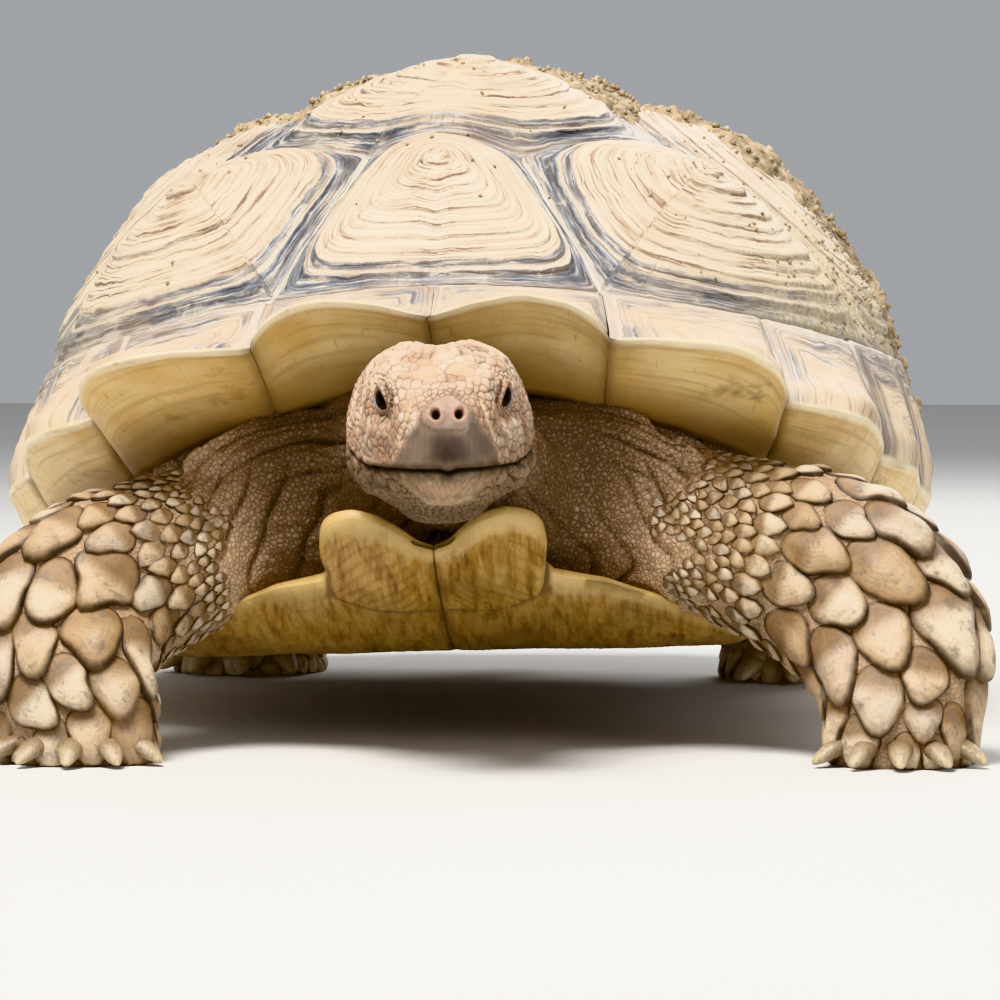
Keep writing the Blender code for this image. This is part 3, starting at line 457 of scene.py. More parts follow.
def seam_wander(at):
    """Seams aren't quite straight. Both neighbours of a seam get the same shift."""
    at = np.asarray(at, float)
    p = np.concatenate([at, np.zeros((*at.shape[:-1], 1))], axis=-1)
    shift = np.stack([noise(p, 0.09, 3), noise(p, 0.09, 4)], axis=-1) * 0.006
    shift += np.stack([noise(p, 0.03, 5), noise(p, 0.03, 6)], axis=-1) * 0.0022
    inside = 1 - step(np.hypot(at[..., 0], at[..., 1]), 0.72, 0.8)
    return at + shift * inside[..., None]


def dense_outline(corners):
    """Evenly spaced points round a scute. A corner that is a pair of angles is an arc."""
    points = []
    for i, here in enumerate(corners):
        after = corners[(i + 1) % len(corners)]
        if np.ndim(here[0]):
            points.append(np.array(here))
        start = np.array(here[-1] if np.ndim(here[0]) else here, float)
        end = np.array(after[0] if np.ndim(after[0]) else after, float)
        points.append(start + (end - start) * np.linspace(0, 1, EDGE_POINTS, endpoint=False)[:, None])
    points = np.concatenate(points)
    solid = dome(points)
    closed = np.concatenate([solid, solid[:1]])
    length = np.concatenate([[0], np.cumsum(np.linalg.norm(np.diff(closed, axis=0), axis=1))])
    at = np.concatenate([points, points[:1]])
    want = np.linspace(0, length[-1], AROUND, endpoint=False)
    return np.stack([np.interp(want, length, at[:, 0]), np.interp(want, length, at[:, 1])], axis=1)


def arc(start, end):
    """A stretch of the seam between carapace and rim."""
    return [tuple(p) for p in on_ring(np.linspace(start, end, EDGE_POINTS))]


def scute_outlines():
    """Each scute's corners on the disc, and the middle of its areola."""
    def mirrored(p):
        return (-p[0], p[1])

    found = {}
    ends, sides = VERTEBRAL_ENDS, VERTEBRAL_SIDES
    found["vertebral_1"] = [arc(-RIM_SEAMS[1], RIM_SEAMS[1]), ends[0], mirrored(ends[0])], (0.0, -0.575)
    for n, areola in ((0, (V2_LEAN, -0.285)), (1, (0.0, 0.045)), (2, (0.0, 0.365))):
        front, rear, side = ends[n], ends[n + 1], sides[n]
        corners = [mirrored(front), front, side, rear, mirrored(rear), mirrored(side)]
        found[f"vertebral_{n + 2}"] = corners, areola
    last = [mirrored(ends[3]), ends[3], arc(COSTAL_SEAMS[3], 360 - COSTAL_SEAMS[3])]
    found["vertebral_5"] = last, (0.0, 0.64)
    starts = (RIM_SEAMS[1], *COSTAL_SEAMS[:3])
    corners = ((ends[0], None), (ends[1], sides[0]), (ends[2], sides[1]), (ends[3], sides[2]))
    for n, (start, end) in enumerate(zip(starts, COSTAL_SEAMS)):
        spine, before = corners[n]
        behind = [sides[n]] if n < 3 else []
        shape = ([before] if before else []) + [arc(start, end)] + behind + [spine]
        outline = dense_outline(shape)
        middle = tuple(outline.mean(axis=0) * (1 - AREOLA_SHIFT))
        found[f"costal_{n + 1}_left"] = shape, middle
        flipped = [[mirrored(q) for q in p] if np.ndim(p[0]) else mirrored(p) for p in shape]
        found[f"costal_{n + 1}_right"] = flipped, mirrored(middle)
    return found


def staircase(share, count, rng):
    """Growth terraces: the share turned into flats and drops, and where the drops are, for the painted shade
    down each drop.
    """
    widths = rng.uniform(0.6, 1.5, count)
    edges = np.concatenate([[0], np.cumsum(widths) / widths.sum()])
    share = np.clip(share, 0, 1)
    k = np.clip(np.searchsorted(edges, share, side="right") - 1, 0, count - 1)
    width = edges[k + 1] - edges[k]
    t = (share - edges[k]) / width
    fall = step(t, 0.80, 1.0)
    deep = rng.uniform(0.4, 1.0, count)[k]
    return edges[k] + width * (0.12 * t + 0.88 * fall), deep * hump(t - 0.92, 0.07)


def rounded(edge):
    """The outline of a scute's younger rings: the same shape with softer corners."""
    soft = edge.copy()
    for _ in range(90):
        soft = (np.roll(soft, 1, axis=0) + 2 * soft + np.roll(soft, -1, axis=0)) / 4
    return soft + (soft - soft.mean(axis=0)) * 0.03


def dust_and_pale_light_cover(at):
    """How thickly dry sand lies on the shell's scutes, 0 to 1: sand on the animal's left, a thin painted pale
    light on its right flank.
    """
    x, y = at[..., 0], at[..., 1]
    place = np.stack([x, y, 0 * x], axis=-1)
    ragged = 0.08 * noise(place, 0.12, 76)
    left = step(x + ragged - 0.25 * (y + 0.4), 0.38, 0.58) * step(y, -0.66, -0.48)
    # the quarter-strength cover on the right flank is painted light: a pale wash where that flank is lit
    # paler
    return np.maximum(0.9 * left, 0.25 * step(-x + ragged, 0.45, 0.70))


def scute_height(name, at, share, ring, steps, ground, seed):
    """How far a scute stands above the dome: terraces, seam bands, groove, keel and grain."""
    peak = VERTEBRAL_PEAKS[int(name[-1]) - 1] if name.startswith("vertebral") else COSTAL_PEAK
    peak *= TALLER.get(name, 1.0)
    high = peak * np.clip(1 - steps, 0, 1) ** 1.15
    high += 0.0016 * (step(ring, 0.795, 0.78) + step(ring, 0.885, 0.87) - 1)
    high -= 0.0012 * step(share, 0.955, 1.0)[:, None]
    high += 0.0105 * hump(at[..., 0], 0.10) * hump(at[..., 1] + 0.50, 0.085)
    high += 0.00045 * noise(ground, 0.009, seed + 20) + 0.0009 * noise(ground, 0.04, seed + 30)
    high -= 0.0012 * np.clip(noise(ground, 0.016, seed + 40) - 0.55, 0, 1) * (share[:, None] < 0.93)
    return high


def walled(value):
    """Values of a scute's points with those of its wall, which are its edge's."""
    return np.concatenate([value, value[-1:]])


def make_scute(name, corners, areola, shader, seed):
    """One vertebral or costal: rings from its areola out to its edge, then a short wall down."""
    rng = np.random.default_rng(100 + seed)
    areola = np.array(areola, float)
    edge = seam_wander(dense_outline(corners))
    reach = np.linalg.norm(dome(edge) - dome(areola), axis=1)
    edge = areola + (edge - areola) * (1 - EDGE_GAP / reach)[:, None]
    share = np.concatenate([np.linspace(0.0, 0.96, OUTWARD - 5), np.linspace(0.97, 1.0, 5)])
    plain = step(share, 1.0, 0.82)[:, None, None]
    shape = edge[None] + (rounded(edge) - edge)[None] * plain
    at = areola + (shape - areola) * share[:, None, None]
    ground, normals = dome(at), dome_normals(at)
    middle = hump(at[..., 0], 0.020) * step(at[..., 1], areola[1], areola[1] - 0.05)
    middle = middle * (name == "vertebral_1")
    wobble = 0.026 * noise(ground, 0.040, seed) + 0.009 * noise(ground, 0.011, seed + 9) - 0.030 * middle
    loose = np.minimum(share[:, None] * 4, 1) * (1 - share[:, None] ** 6)
    ring = np.clip(share[:, None] + wobble * loose, 0, 1)
    steps, drops = staircase(ring, TERRACES - name.startswith("vertebral"), rng)
    high = scute_height(name, at, share, ring, steps, ground, seed)
    points = ground + normals * high[..., None]
    rim = points[-1]
    wall = rim - normals[-1] * 0.005 - unit(rim - points[0, 0]) * 0.0006
    points = np.concatenate([points, wall[None]]).reshape(-1, 3)
    spread = np.concatenate([share, [1.02]])
    flat = (areola + (edge - areola)[None] * spread[:, None, None]).reshape(-1, 2)
    low, high_corner = flat.min(axis=0), flat.max(axis=0)
    uvs = 0.02 + 0.96 * (flat - low) / (high_corner - low).max()
    length = np.linalg.norm(np.roll(rim, -1, axis=0) - rim, axis=1)
    values = {
        "ring": np.concatenate([ring, np.ones((1, AROUND))]),
        "terrace_shade": np.concatenate([drops, np.zeros((1, AROUND))]),
        "shade": rng.uniform(0.15, 0.6) + walled(middle) * 0.45,
        "around": np.tile(np.cumsum(length), len(spread)) + seed,
        "dust_and_pale_light": walled(dust_and_pale_light_cover(at)),
    }
    faces = grid_faces(len(spread), AROUND, closed=True)
    made = add_mesh(name + "_horn", leaned(points), faces, shader, values, uvs)
    return settle(made, "scute", name)


def make_carapace():
    """The vertebrals and costals. Returns their pieces."""
    shader = carapace_material()
    outlines = scute_outlines().items()
    return [make_scute(name, *plan, shader, seed) for seed, (name, plan) in enumerate(outlines)]


# ---- rim ------------------------------------------------------------------------------
RIM_ALONG, RIM_ACROSS = 40, 26
RIM_THICK = 0.0026
RIM_TERRACES = 7
UNDER_SHARES = np.concatenate([[0.004, 0.012, 0.025], np.linspace(0.05, 1, 17)])


def lobe_at(number, share, extra):
    """How far out and up the free edge is drawn, along one rim scute."""
    out, up = RIM_LOBES[number]
    out += extra
    if number == len(RIM_LOBES) - 1:
        swell = np.cos(math.pi / 2 * (1 - share)) ** 0.8
    else:
        swell = np.clip(np.sin(math.pi * share**LOBE_PEAK), 0, None) ** 0.7
    return out * swell, up * swell


def rim_sections(number, share, extra, gap=True):
    """Sections of a marginal: top face, underside and inner lip, each (len(share), n, 3)."""
    start, end = RIM_SEAMS[number : number + 2]
    inset = 0.0008 / math.radians(end - start) if gap else 0.0
    degrees = start + (end - start) * (0.5 + (share - 0.5) * (1 - inset))
    angle = np.radians(degrees)
    out, up = lobe_at(number, share, extra)
    radii = np.linspace(SEAM_RING + 0.0012, 1.0, RIM_ACROSS)
    at = np.stack([np.sin(angle)[:, None] * radii, -np.cos(angle)[:, None] * radii], axis=-1)
    top = dome(at)
    outward = unit(top[:, -1] * [1, 1, 0])
    grow = step(radii, SEAM_RING, 1.0) ** 1.3
    top += (outward * out[:, None])[:, None] * (0.35 * grow + 0.65 * grow**2)[None, :, None]
    top[..., 2] += up[:, None] * (0.25 * grow + 0.75 * grow**2)
    rim = top[:, -1]
    lip = blend_round(angle, FRONT_LIP, SIDE_LIP, REAR_LIP, RIM_SQUARENESS)
    side = np.sin(angle) ** 2
    flange = 1 - 0.75 * side
    bend = rim + (lip - rim) * np.stack([0.25 + 0.40 * flange] * 2 + [0.55 - 0.33 * flange], axis=1)
    t = UNDER_SHARES
    under = (
        rim[:, None] * ((1 - t) ** 2)[None, :, None] + bend[:, None] * (2 * t * (1 - t))[None, :, None]
        + lip[:, None] * (t**2)[None, :, None]
    )
    under[..., 2] -= RIM_THICK * step(t, -0.01, 0.03) * (1 - t) ** 0.5 + 0.004 * np.sin(math.pi * t) ** 2
    inside = top[:, 0] - dome_normals(at[:, 0]) * PLATE
    back = lip[:, None] + (inside - lip)[:, None] * np.linspace(0, 1, 4)[1:][None, :, None]
    return top, under, back


def rim_relief(top, share, seed):
    """Ring shares and terraces of a marginal's top face, and its points raised by them."""
    along, across = share[:, None], np.linspace(0, 1, RIM_ACROSS)[None, :]
    ring = np.clip(1 - np.minimum(np.minimum(along / 0.66, (1 - along) / 0.34), across / 0.86), 0, 1)
    wobble = 0.05 * noise(top, 0.03, seed) + 0.02 * noise(top, 0.008, seed + 5)
    ring = np.clip(ring + wobble * (1 - ring**5) * np.minimum(ring * 4, 1), 0, 1)
    steps, drops = staircase(ring, RIM_TERRACES, np.random.default_rng(300 + seed))
    normals = unit(np.cross(np.gradient(top, axis=0), np.gradient(top, axis=1)))
    normals *= np.sign((normals * [0, 0, 1] + normals * unit(top * [1, 1, 0])).sum(-1).mean())
    high = 0.0038 * (1 - steps) * step(across, 1.0, 0.80)
    high = high - 0.0013 * step(np.minimum(along, 1 - along), 0.045, 0.0)
    high -= 0.0013 * step(across, 0.05, 0.0)
    high += 0.0004 * noise(top, 0.008, seed + 20) + 0.0006 * noise(top, 0.03, seed + 30)
    return ring, drops, top + normals * high[..., None] * step(across, 1.0, 0.93)[..., None]


def make_rim_piece(name, sections, share, sign, shader, seed):
    """One marginal or the supracaudal from its sections. share runs along the rim."""
    top, under, back = sections
    ragged = 0.0016 * noise(top[:, -1:], 0.012, seed + 50) + 0.0008 * noise(top[:, -1:], 0.004, seed + 51)
    ring, drops, top = rim_relief(top, share, seed)
    outward = unit(top[:, -1] * [1, 1, 0])[:, None]
    across = np.linspace(0, 1, RIM_ACROSS)
    top = top + outward * (ragged * step(across, 0.85, 1.0))[..., None]
    under = under + outward * (ragged * (1 - UNDER_SHARES) ** 3)[..., None]
    under[..., 2] += 0.0007 * noise(under, 0.014, seed + 60)
    near_seam = np.minimum(share, 1 - share)[:, None]
    under[..., 2] += 0.0012 * step(near_seam, 0.04, 0.0)
    points = np.concatenate([top, under, back], axis=1) * [sign, 1, 1]
    rows, count = points.shape[:2]
    plain = np.zeros((rows, count))
    rings, drop, below, depth = plain + 1, plain.copy(), plain + 1, plain + 1
    rings[:, :RIM_ACROSS] = ring
    drop[:, :RIM_ACROSS] = drops
    below[:, : RIM_ACROSS - 1] = 0
    depth[:, :RIM_ACROSS] = 0
    depth[:, RIM_ACROSS : RIM_ACROSS + len(UNDER_SHARES)] = UNDER_SHARES
    values = {
        "ring": rings, "terrace_shade": drop, "below": below, "depth": depth, "seam": plain + near_seam,
        "around": (share[:, None] + plain) * 0.07 + rings * 0.01 + seed,
    }
    u = np.linspace(0.02, 0.98, rows)[:, None] + plain
    v = np.linspace(0.02, 0.98, count)[None, :] + plain
    uvs = np.stack([u, v], -1).reshape(-1, 2)
    faces = grid_faces(rows, count)
    if sign < 0:
        faces = faces[:, ::-1]
    made = add_mesh(name + "_horn", leaned(points.reshape(-1, 3)), faces, shader, values, uvs)
    settle(made, "rim", name)


def rim_material():
    """The rim scutes: horn with growth rings on top and painted shade down their steps' drops; yellow cream
    with brown stains below, a painted highlight along the edge and painted shade deep under the rim.
    """
    s = Shader("rim_horn")
    names = ("ring", "below", "depth", "seam", "around", "terrace_shade")
    ring, below, depth, seam, around, terrace_shade = (s.attribute(n) for n in names)
    broad, fine = s.noise(0.03, 4), s.noise(0.004, 4, 0.65)
    at = s.maths("ADD", ring, s.spread(s.noise(0.012, 3), 0.08, -0.04))
    top = s.ramp(at, (0.0, (0.50, 0.37, 0.24)), (0.3, (0.70, 0.56, 0.40)), (0.75, (0.68, 0.54, 0.38)),
                 (1.0, (0.60, 0.50, 0.39)))
    slate = s.ramp(strands(s, around, at, 0.020, 26.0, offset=7.0), (0.34, (0.04, 0.042, 0.05)),
                   (0.48, (0.12, 0.125, 0.14)), (0.58, (0.31, 0.31, 0.31)), (0.68, (0.58, 0.49, 0.39)))
    zone = s.ramp(at, (0.60, 0.0), (0.66, 0.9), (0.72, 0.35), (0.80, 0.95), (0.96, 0.5))
    there = s.ramp(s.noise(0.05, 3, 0.6, offset=9.0), (0.38, 0.2), (0.56, 1.0))
    top = s.layer(top, slate, s.times(zone, there))
    lines = strands(s, around, at, 0.03, 40.0)
    dark = s.times(s.ramp(lines, (0.50, 0.0), (0.60, 0.85)), s.ramp(broad, (0.35, 0.25), (0.62, 0.9)))
    top = s.layer(top, (0.27, 0.17, 0.10), dark)
    # painted shade: darker down the drop of each growth step
    top = s.layer(top, (0.27, 0.18, 0.10), s.times(terrace_shade, 0.5))
    mottle = s.noise(0.045, 4, 0.6)
    cream = s.layer((0.78, 0.60, 0.31), (0.66, 0.43, 0.16), mottle, (0.35, 0.0), (0.65, 1.0))
    # painted highlight: a thin pale line along the rim's edge and just under it
    cream = s.layer(cream, (0.80, 0.72, 0.52), depth, (0.0, 0.9), (0.07, 0.0))
    # painted shade: browner and darker towards the inner lip, deep under the rim
    cream = s.layer(cream, (0.26, 0.145, 0.055), depth, (0.45, 0.0), (0.95, 0.9))
    cream = s.layer(cream, (0.20, 0.14, 0.07), s.noise(0.032, 6, 0.7, offset=5.0), (0.58, 0.0), (0.70, 0.7))
    scratch = strands(s, around, depth, 0.0022, 5.0, offset=2.0)
    cream = s.layer(cream, (0.36, 0.23, 0.09), scratch, (0.60, 0.0), (0.72, 0.40))
    cream = s.layer(cream, (0.18, 0.11, 0.05), seam, (0.0, 0.7), (0.05, 0.22), (0.14, 0.0))
    under_lines = strands(s, around, depth, 0.05, 14.0, 2.0)
    cream = s.layer(cream, (0.42, 0.27, 0.11), under_lines, (0.50, 0.0), (0.66, 0.45))
    top_rough = s.ramp(s.noise(0.02, 4), (0.3, 0.4), (0.7, 0.65))
    rough = s.blend(below, top_rough, s.ramp(fine, (0.3, 0.32), (0.7, 0.5)))
    height = s.spread(fine, 1.0, s.times(lines, s.blend(below, -2.4, 0.0)))
    height = s.spread(under_lines, s.times(below, 0.3), height)
    return s.finish(s.mix(below, top, cream), rough, s.bump(height, 0.0002), 0.42)


def make_rim():
    """Eleven marginals a side and the supracaudal between the last two."""
    shader = rim_material()
    share = np.linspace(0, 1, RIM_ALONG)
    last = len(RIM_LOBES) - 1
    for number in range(last):
        for second, (sign, word) in enumerate(((1, "left"), (-1, "right"))):
            name = f"marginal_{number + 1}_{word}"
            sections = rim_sections(number, share, EXTRA_FLARE.get(name, 0.0))
            make_rim_piece(name, sections, share, sign, shader, number * 2 + second)
    share = np.linspace(0, 1, RIM_ALONG // 2 + 4)
    share[0] = 0.02
    halves = rim_sections(last, share, 0.0, gap=False)
    sections = [np.concatenate([h, h[-2::-1] * [-1, 1, 1]]) for h in halves]
    make_rim_piece("supracaudal", sections, np.linspace(0, 1, len(sections[0])), 1, shader, last * 2)


# ---- mesh arrays ----------------------------------------------------------------------
def edges_of(tris):
    """Every edge once, as two points."""
    e = np.sort(np.concatenate([tris[:, [0, 1]], tris[:, [1, 2]], tris[:, [2, 0]]]), axis=1)
    return np.unique(e, axis=0)


def relax(points, edges, rounds, weight=None):
    """Moves each point towards its neighbours' middle, then part of the way back."""
    count = len(points)
    ends = np.concatenate([edges[:, 0], edges[:, 1]])
    others = np.concatenate([edges[:, 1], edges[:, 0]])
    degree = np.bincount(ends, minlength=count)[:, None]
    weight = 1.0 if weight is None else weight[:, None]
    for _ in range(rounds):
        for push in (0.5, -0.52):
            total = [np.bincount(ends, points[others, k], count) for k in range(3)]
            points = points + (np.stack(total, axis=1) / degree - points) * push * weight
    return points


def refine(points, tris, chosen):
    """Splits the chosen triangles in four and closes up their neighbours."""
    pairs = np.sort(np.stack([tris[:, [0, 1]], tris[:, [1, 2]], tris[:, [2, 0]]], axis=1), axis=2)
    key = pairs[..., 0] * len(points) + pairs[..., 1]
    found, where = np.unique(key, return_inverse=True)
    where = where.reshape(-1, 3)
    cut = np.zeros(len(found), bool)
    cut[where[chosen]] = True
    for _ in range(20):
        many = (cut[where].sum(axis=1) >= 2) & ~cut[where].all(axis=1)
        if not many.any():
            break
        cut[where[many]] = True
    number = np.full(len(found), -1)
    number[cut] = len(points) + np.arange(cut.sum())
    middles = (points[found[cut] // len(points)] + points[found[cut] % len(points)]) / 2
    middle = number[where]
    marks = cut[where]
    made = [tris[~marks.any(axis=1)]]
    full = marks.all(axis=1)
    a, b, c = tris[full].T
    ab, bc, ca = middle[full].T
    made += [np.stack(s, 1) for s in ((a, ab, ca), (ab, b, bc), (ca, bc, c), (ab, bc, ca))]
    for k in range(3):
        one = marks[:, k] & (marks.sum(axis=1) == 1)
        p, q, r = tris[one, k], tris[one, (k + 1) % 3], tris[one, (k + 2) % 3]
        m = middle[one, k]
        made += [np.stack([p, m, r], 1), np.stack([m, q, r], 1)]
    return np.concatenate([points, middles]), np.concatenate(made)


def vertex_normals(points, tris):
    """Normals at the points, weighted by the size of their triangles."""
    a, b, c = (points[tris[:, k]] for k in range(3))
    face = np.cross(b - a, c - a)
    total = np.stack([
        sum(np.bincount(tris[:, k], face[:, axis], len(points)) for k in range(3)) for axis in range(3)
    ], axis=1)
    return unit(total)


# ---- the flesh's form -----------------------------------------------------------------
TRUNK_SECTIONS = (  # y, middle height, half width, half height
    (-0.272, 0.136, 0.100, 0.036), (-0.255, 0.130, 0.150, 0.050), (-0.205, 0.138, 0.172, 0.068),
    (-0.14, 0.160, 0.192, 0.098), (-0.05, 0.182, 0.212, 0.122), (0.05, 0.182, 0.214, 0.122),
    (0.14, 0.165, 0.198, 0.102), (0.205, 0.142, 0.165, 0.074), (0.25, 0.132, 0.120, 0.050),
    (0.275, 0.128, 0.075, 0.036),
)
NECK_PATH = ((0.0, -0.19, 0.132), (0.002, -0.245, 0.138), (0.006, -0.29, 0.149), (0.011, -0.335, 0.165))
NECK_SIZES = ((0.092, 0.046), (0.082, 0.043), (0.058, 0.037), (0.039, 0.031))
HEAD_SECTIONS = (  # distance from the back end, half width, top, bottom, squareness
    (-0.030, 0.034, 0.028, -0.030, 2.0), (0.000, 0.0385, 0.033, -0.033, 2.1),
    (0.020, 0.0445, 0.0400, -0.0360, 2.5), (0.040, 0.0472, 0.0440, -0.0405, 2.9),
    (0.058, 0.0455, 0.0448, -0.0425, 3.0), (0.076, 0.0400, 0.0430, -0.0405, 2.9),
    (0.092, 0.0325, 0.0370, -0.0370, 2.7), (0.106, 0.0255, 0.0300, -0.0325, 2.8),
    (0.116, 0.0195, 0.0230, -0.0280, 2.6), (0.1215, 0.0130, 0.0170, -0.0215, 2.3),
)
FORELEG_RIGHT = (
    ((-0.060, -0.200, 0.120), (0.046, 0.044)), ((-0.125, -0.243, 0.106), (0.044, 0.042)),
    ((-0.178, -0.283, 0.082), (0.050, 0.039)), ((-0.188, -0.315, 0.048), (0.049, 0.034)),
    ((-0.176, -0.327, 0.022), (0.040, 0.033)), ((-0.176, -0.327, 0.0), (0.039, 0.034)),
)
FORELEG_LEFT = (
    ((0.060, -0.200, 0.120), (0.046, 0.044)), ((0.134, -0.240, 0.107), (0.044, 0.042)),
    ((0.200, -0.270, 0.084), (0.051, 0.039)), ((0.231, -0.297, 0.050), (0.047, 0.034)),
    ((0.232, -0.312, 0.022), (0.038, 0.033)), ((0.232, -0.312, 0.0), (0.037, 0.034)),
)
HINDLEG_RIGHT = (
    ((-0.080, 0.150, 0.130), (0.055, 0.050)), ((-0.135, 0.200, 0.112), (0.053, 0.050)),
    ((-0.158, 0.232, 0.066), (0.045, 0.046)), ((-0.158, 0.238, 0.022), (0.044, 0.046)),
    ((-0.158, 0.238, 0.0), (0.046, 0.048)),
)
HINDLEG_LEFT = (
    ((0.080, 0.140, 0.130), (0.055, 0.050)), ((0.140, 0.180, 0.112), (0.053, 0.050)),
    ((0.172, 0.200, 0.066), (0.045, 0.046)), ((0.174, 0.202, 0.022), (0.044, 0.046)),
    ((0.174, 0.202, 0.0), (0.046, 0.048)),
)
LEGS = {
    "foreleg_right": FORELEG_RIGHT, "foreleg_left": FORELEG_LEFT,
    "hindleg_right": HINDLEG_RIGHT, "hindleg_left": HINDLEG_LEFT,
}
TAIL = (
    ((0.0, 0.225, 0.122), (0.036, 0.030)), ((0.004, 0.262, 0.100), (0.029, 0.026)),
    ((0.014, 0.284, 0.074), (0.020, 0.019)), ((0.028, 0.290, 0.052), (0.009, 0.009)),
)
SKIN_DEPTH = 0.002  # how far under the flesh's outline the skin lies where scales cover it
TRUNK_RINGS, TRUNK_SIDES = 44, 60
LIMB_RINGS, LIMB_SIDES, TAIL_RINGS = 40, 40, 24
NECK_RINGS = 30


def oval(width, top, bottom, square_above, square_below, sides):
    """A rounded section: half width, top, bottom, and how square it is above and below."""
    turn = np.linspace(0, 2 * math.pi, sides, endpoint=False)
    c, s = np.cos(turn), np.sin(turn)
    square = np.where(s > 0, square_above, square_below)
    across = width * np.sign(c) * np.abs(c) ** (2 / square)
    return across, np.where(s > 0, top, -bottom) * np.sign(s) * np.abs(s) ** (2 / square)


def limb_path(table):
    """The limb's middle line, leaning with the shell above the ankle only."""
    path = np.array([p for p, _ in table], float)
    free = np.clip((path[:, 2] - 0.03) / 0.06, 0, 1)[:, None]
    path = leaned(path) * free + path * (1 - free)
    if path[-1, 2] == 0:
        path[-2:, :2] = path[-1, :2]
    return path


def limb_sections(table, rings, sides, thinner):
    """Rings round a limb's middle line."""
    path = limb_path(table)
    at, read = np.linspace(0, 1, len(path)), np.linspace(0, 1, rings)
    centres = smooth(read, at, path)
    size = smooth(read, at, np.array([s for _, s in table])) - thinner
    tangents = np.gradient(centres, axis=0)
    tangents[-1] = path[-1] - path[-2]
    sections = []
    for centre, tangent, (half, deep) in zip(centres, unit(tangents), size):
        ahead = np.array([0.0, -1.0, 0.0])
        ahead = unit(ahead - tangent * (ahead @ tangent))
        across, up = oval(half, deep, -deep, 2.3, 2.3, sides)
        sections.append(centre + np.outer(across, np.cross(ahead, tangent)) + np.outer(up, ahead))
    return sections


def head_sections(rings=40, sides=64):
    """Rings round the head, from inside the neck to the end of the snout."""
    table = np.array(HEAD_SECTIONS)
    read = np.concatenate([np.linspace(-0.03, 0.110, rings), [0.114, 0.118, 0.1215]])
    sections = []
    for along, width, top, bottom, square in zip(read, *smooth(read, table[:, 0], table[:, 1:]).T):
        across, up = oval(width, top, bottom, square, min(square, 2.15), sides)
        back = 0.006 * step(up, -0.010, -0.038) * step(along, 0.07, 0.12)
        sections.append(np.stack([across, along - back, up], axis=1))
    last = sections[-1]
    middle = np.array([0, last[:, 1].mean(), -0.002])
    for share, out in ((0.85, 0.0010), (0.55, 0.0022), (0.2, 0.0027)):
        sections.append((last - middle) * [share, 1, share] + middle + [0, out, 0])
    return [from_head(s) for s in sections]


def dome_place(x, y):
    """Where on the disc the dome has this x and y."""
    at = np.stack([x / SIDE_MERIDIAN[-1][1], y / FRONT_MERIDIAN[-1][1]], axis=1) * 0.9
    for _ in range(30):
        at = at + (np.stack([x, y], axis=1) - dome(at)[:, :2]) / 0.42
    return at


def lip_reach(y):
    """Half width of the rim's inner lip, this far along the body."""
    share = np.clip(np.abs(y) / np.where(y < 0, FRONT_LIP[0], REAR_LIP[0]), 0, 1)
    power = 2 + RIM_SQUARENESS
    return SIDE_LIP[0] * (1 - share**power) ** (1 / power)


def plastron_under(x, y):
    """Height of the plastron's underside, rising to the rim at the bridges."""
    along, height = np.array(PLASTRON_PROFILE).T
    base = smooth(y, along, height)
    share = np.clip(np.abs(y) / np.where(y < 0, FRONT_LIP[0], REAR_LIP[0]), 0, 1)
    reach = lip_reach(y)
    ends = np.where(y < 0, FRONT_LIP[1], REAR_LIP[1])
    edge = SIDE_LIP[1] + (ends - SIDE_LIP[1]) * share**2
    out = np.clip((np.abs(x) - BRIDGE_START) / np.maximum(reach - BRIDGE_START, 0.01), 0, 1)
    near = np.clip((BRIDGE_END - np.abs(y)) / 0.04, 0, 1)
    return base + (edge - base) * out**1.6 * near * near * (3 - 2 * near)


def held_inside(points):
    """Keeps the trunk within the room inside the shell."""
    x, y, z = points.T
    shrink = np.minimum(1, (lip_reach(y) - 0.008) / np.maximum(np.abs(x), 0.01))
    x = x * np.where(np.abs(y) < 0.25, shrink, 1)
    at = dome_place(x, y)
    at /= np.maximum(np.hypot(*at.T) / SEAM_RING, 1)[:, None]
    ceiling = dome(at)[:, 2] - (PLATE + 0.004) / np.maximum(dome_normals(at)[:, 2], 0.35)
    floor = plastron_under(x, y) + PLATE * 0.6
    return np.stack([x, y, np.minimum(np.maximum(z, floor), ceiling)], axis=1)


def trunk_sections():
    """Rings round the trunk, within the shell."""
    y, middle, wide, high = np.array(TRUNK_SECTIONS).T
    read = np.linspace(y[0], y[-1], TRUNK_RINGS)
    m, w, h = smooth(read, y, middle), smooth(read, y, wide), smooth(read, y, high)
    made = []
    for k, at in enumerate(read):
        across, up = oval(w[k], h[k], -h[k], 2.6, 2.6, TRUNK_SIDES)
        made.append(leaned(held_inside(np.stack([across, np.full(TRUNK_SIDES, at), m[k] + up], axis=1))))
    return made


def loft(sections):
    """Points and faces of a closed tube through the rings."""
    count, rows = len(sections[0]), len(sections)
    faces = grid_faces(rows, count, closed=True).tolist()
    faces += [list(range(count))[::-1], list(range((rows - 1) * count, rows * count))]
    return np.concatenate(sections), faces


VOXEL = 0.0036  # of the remesh that joins the flesh


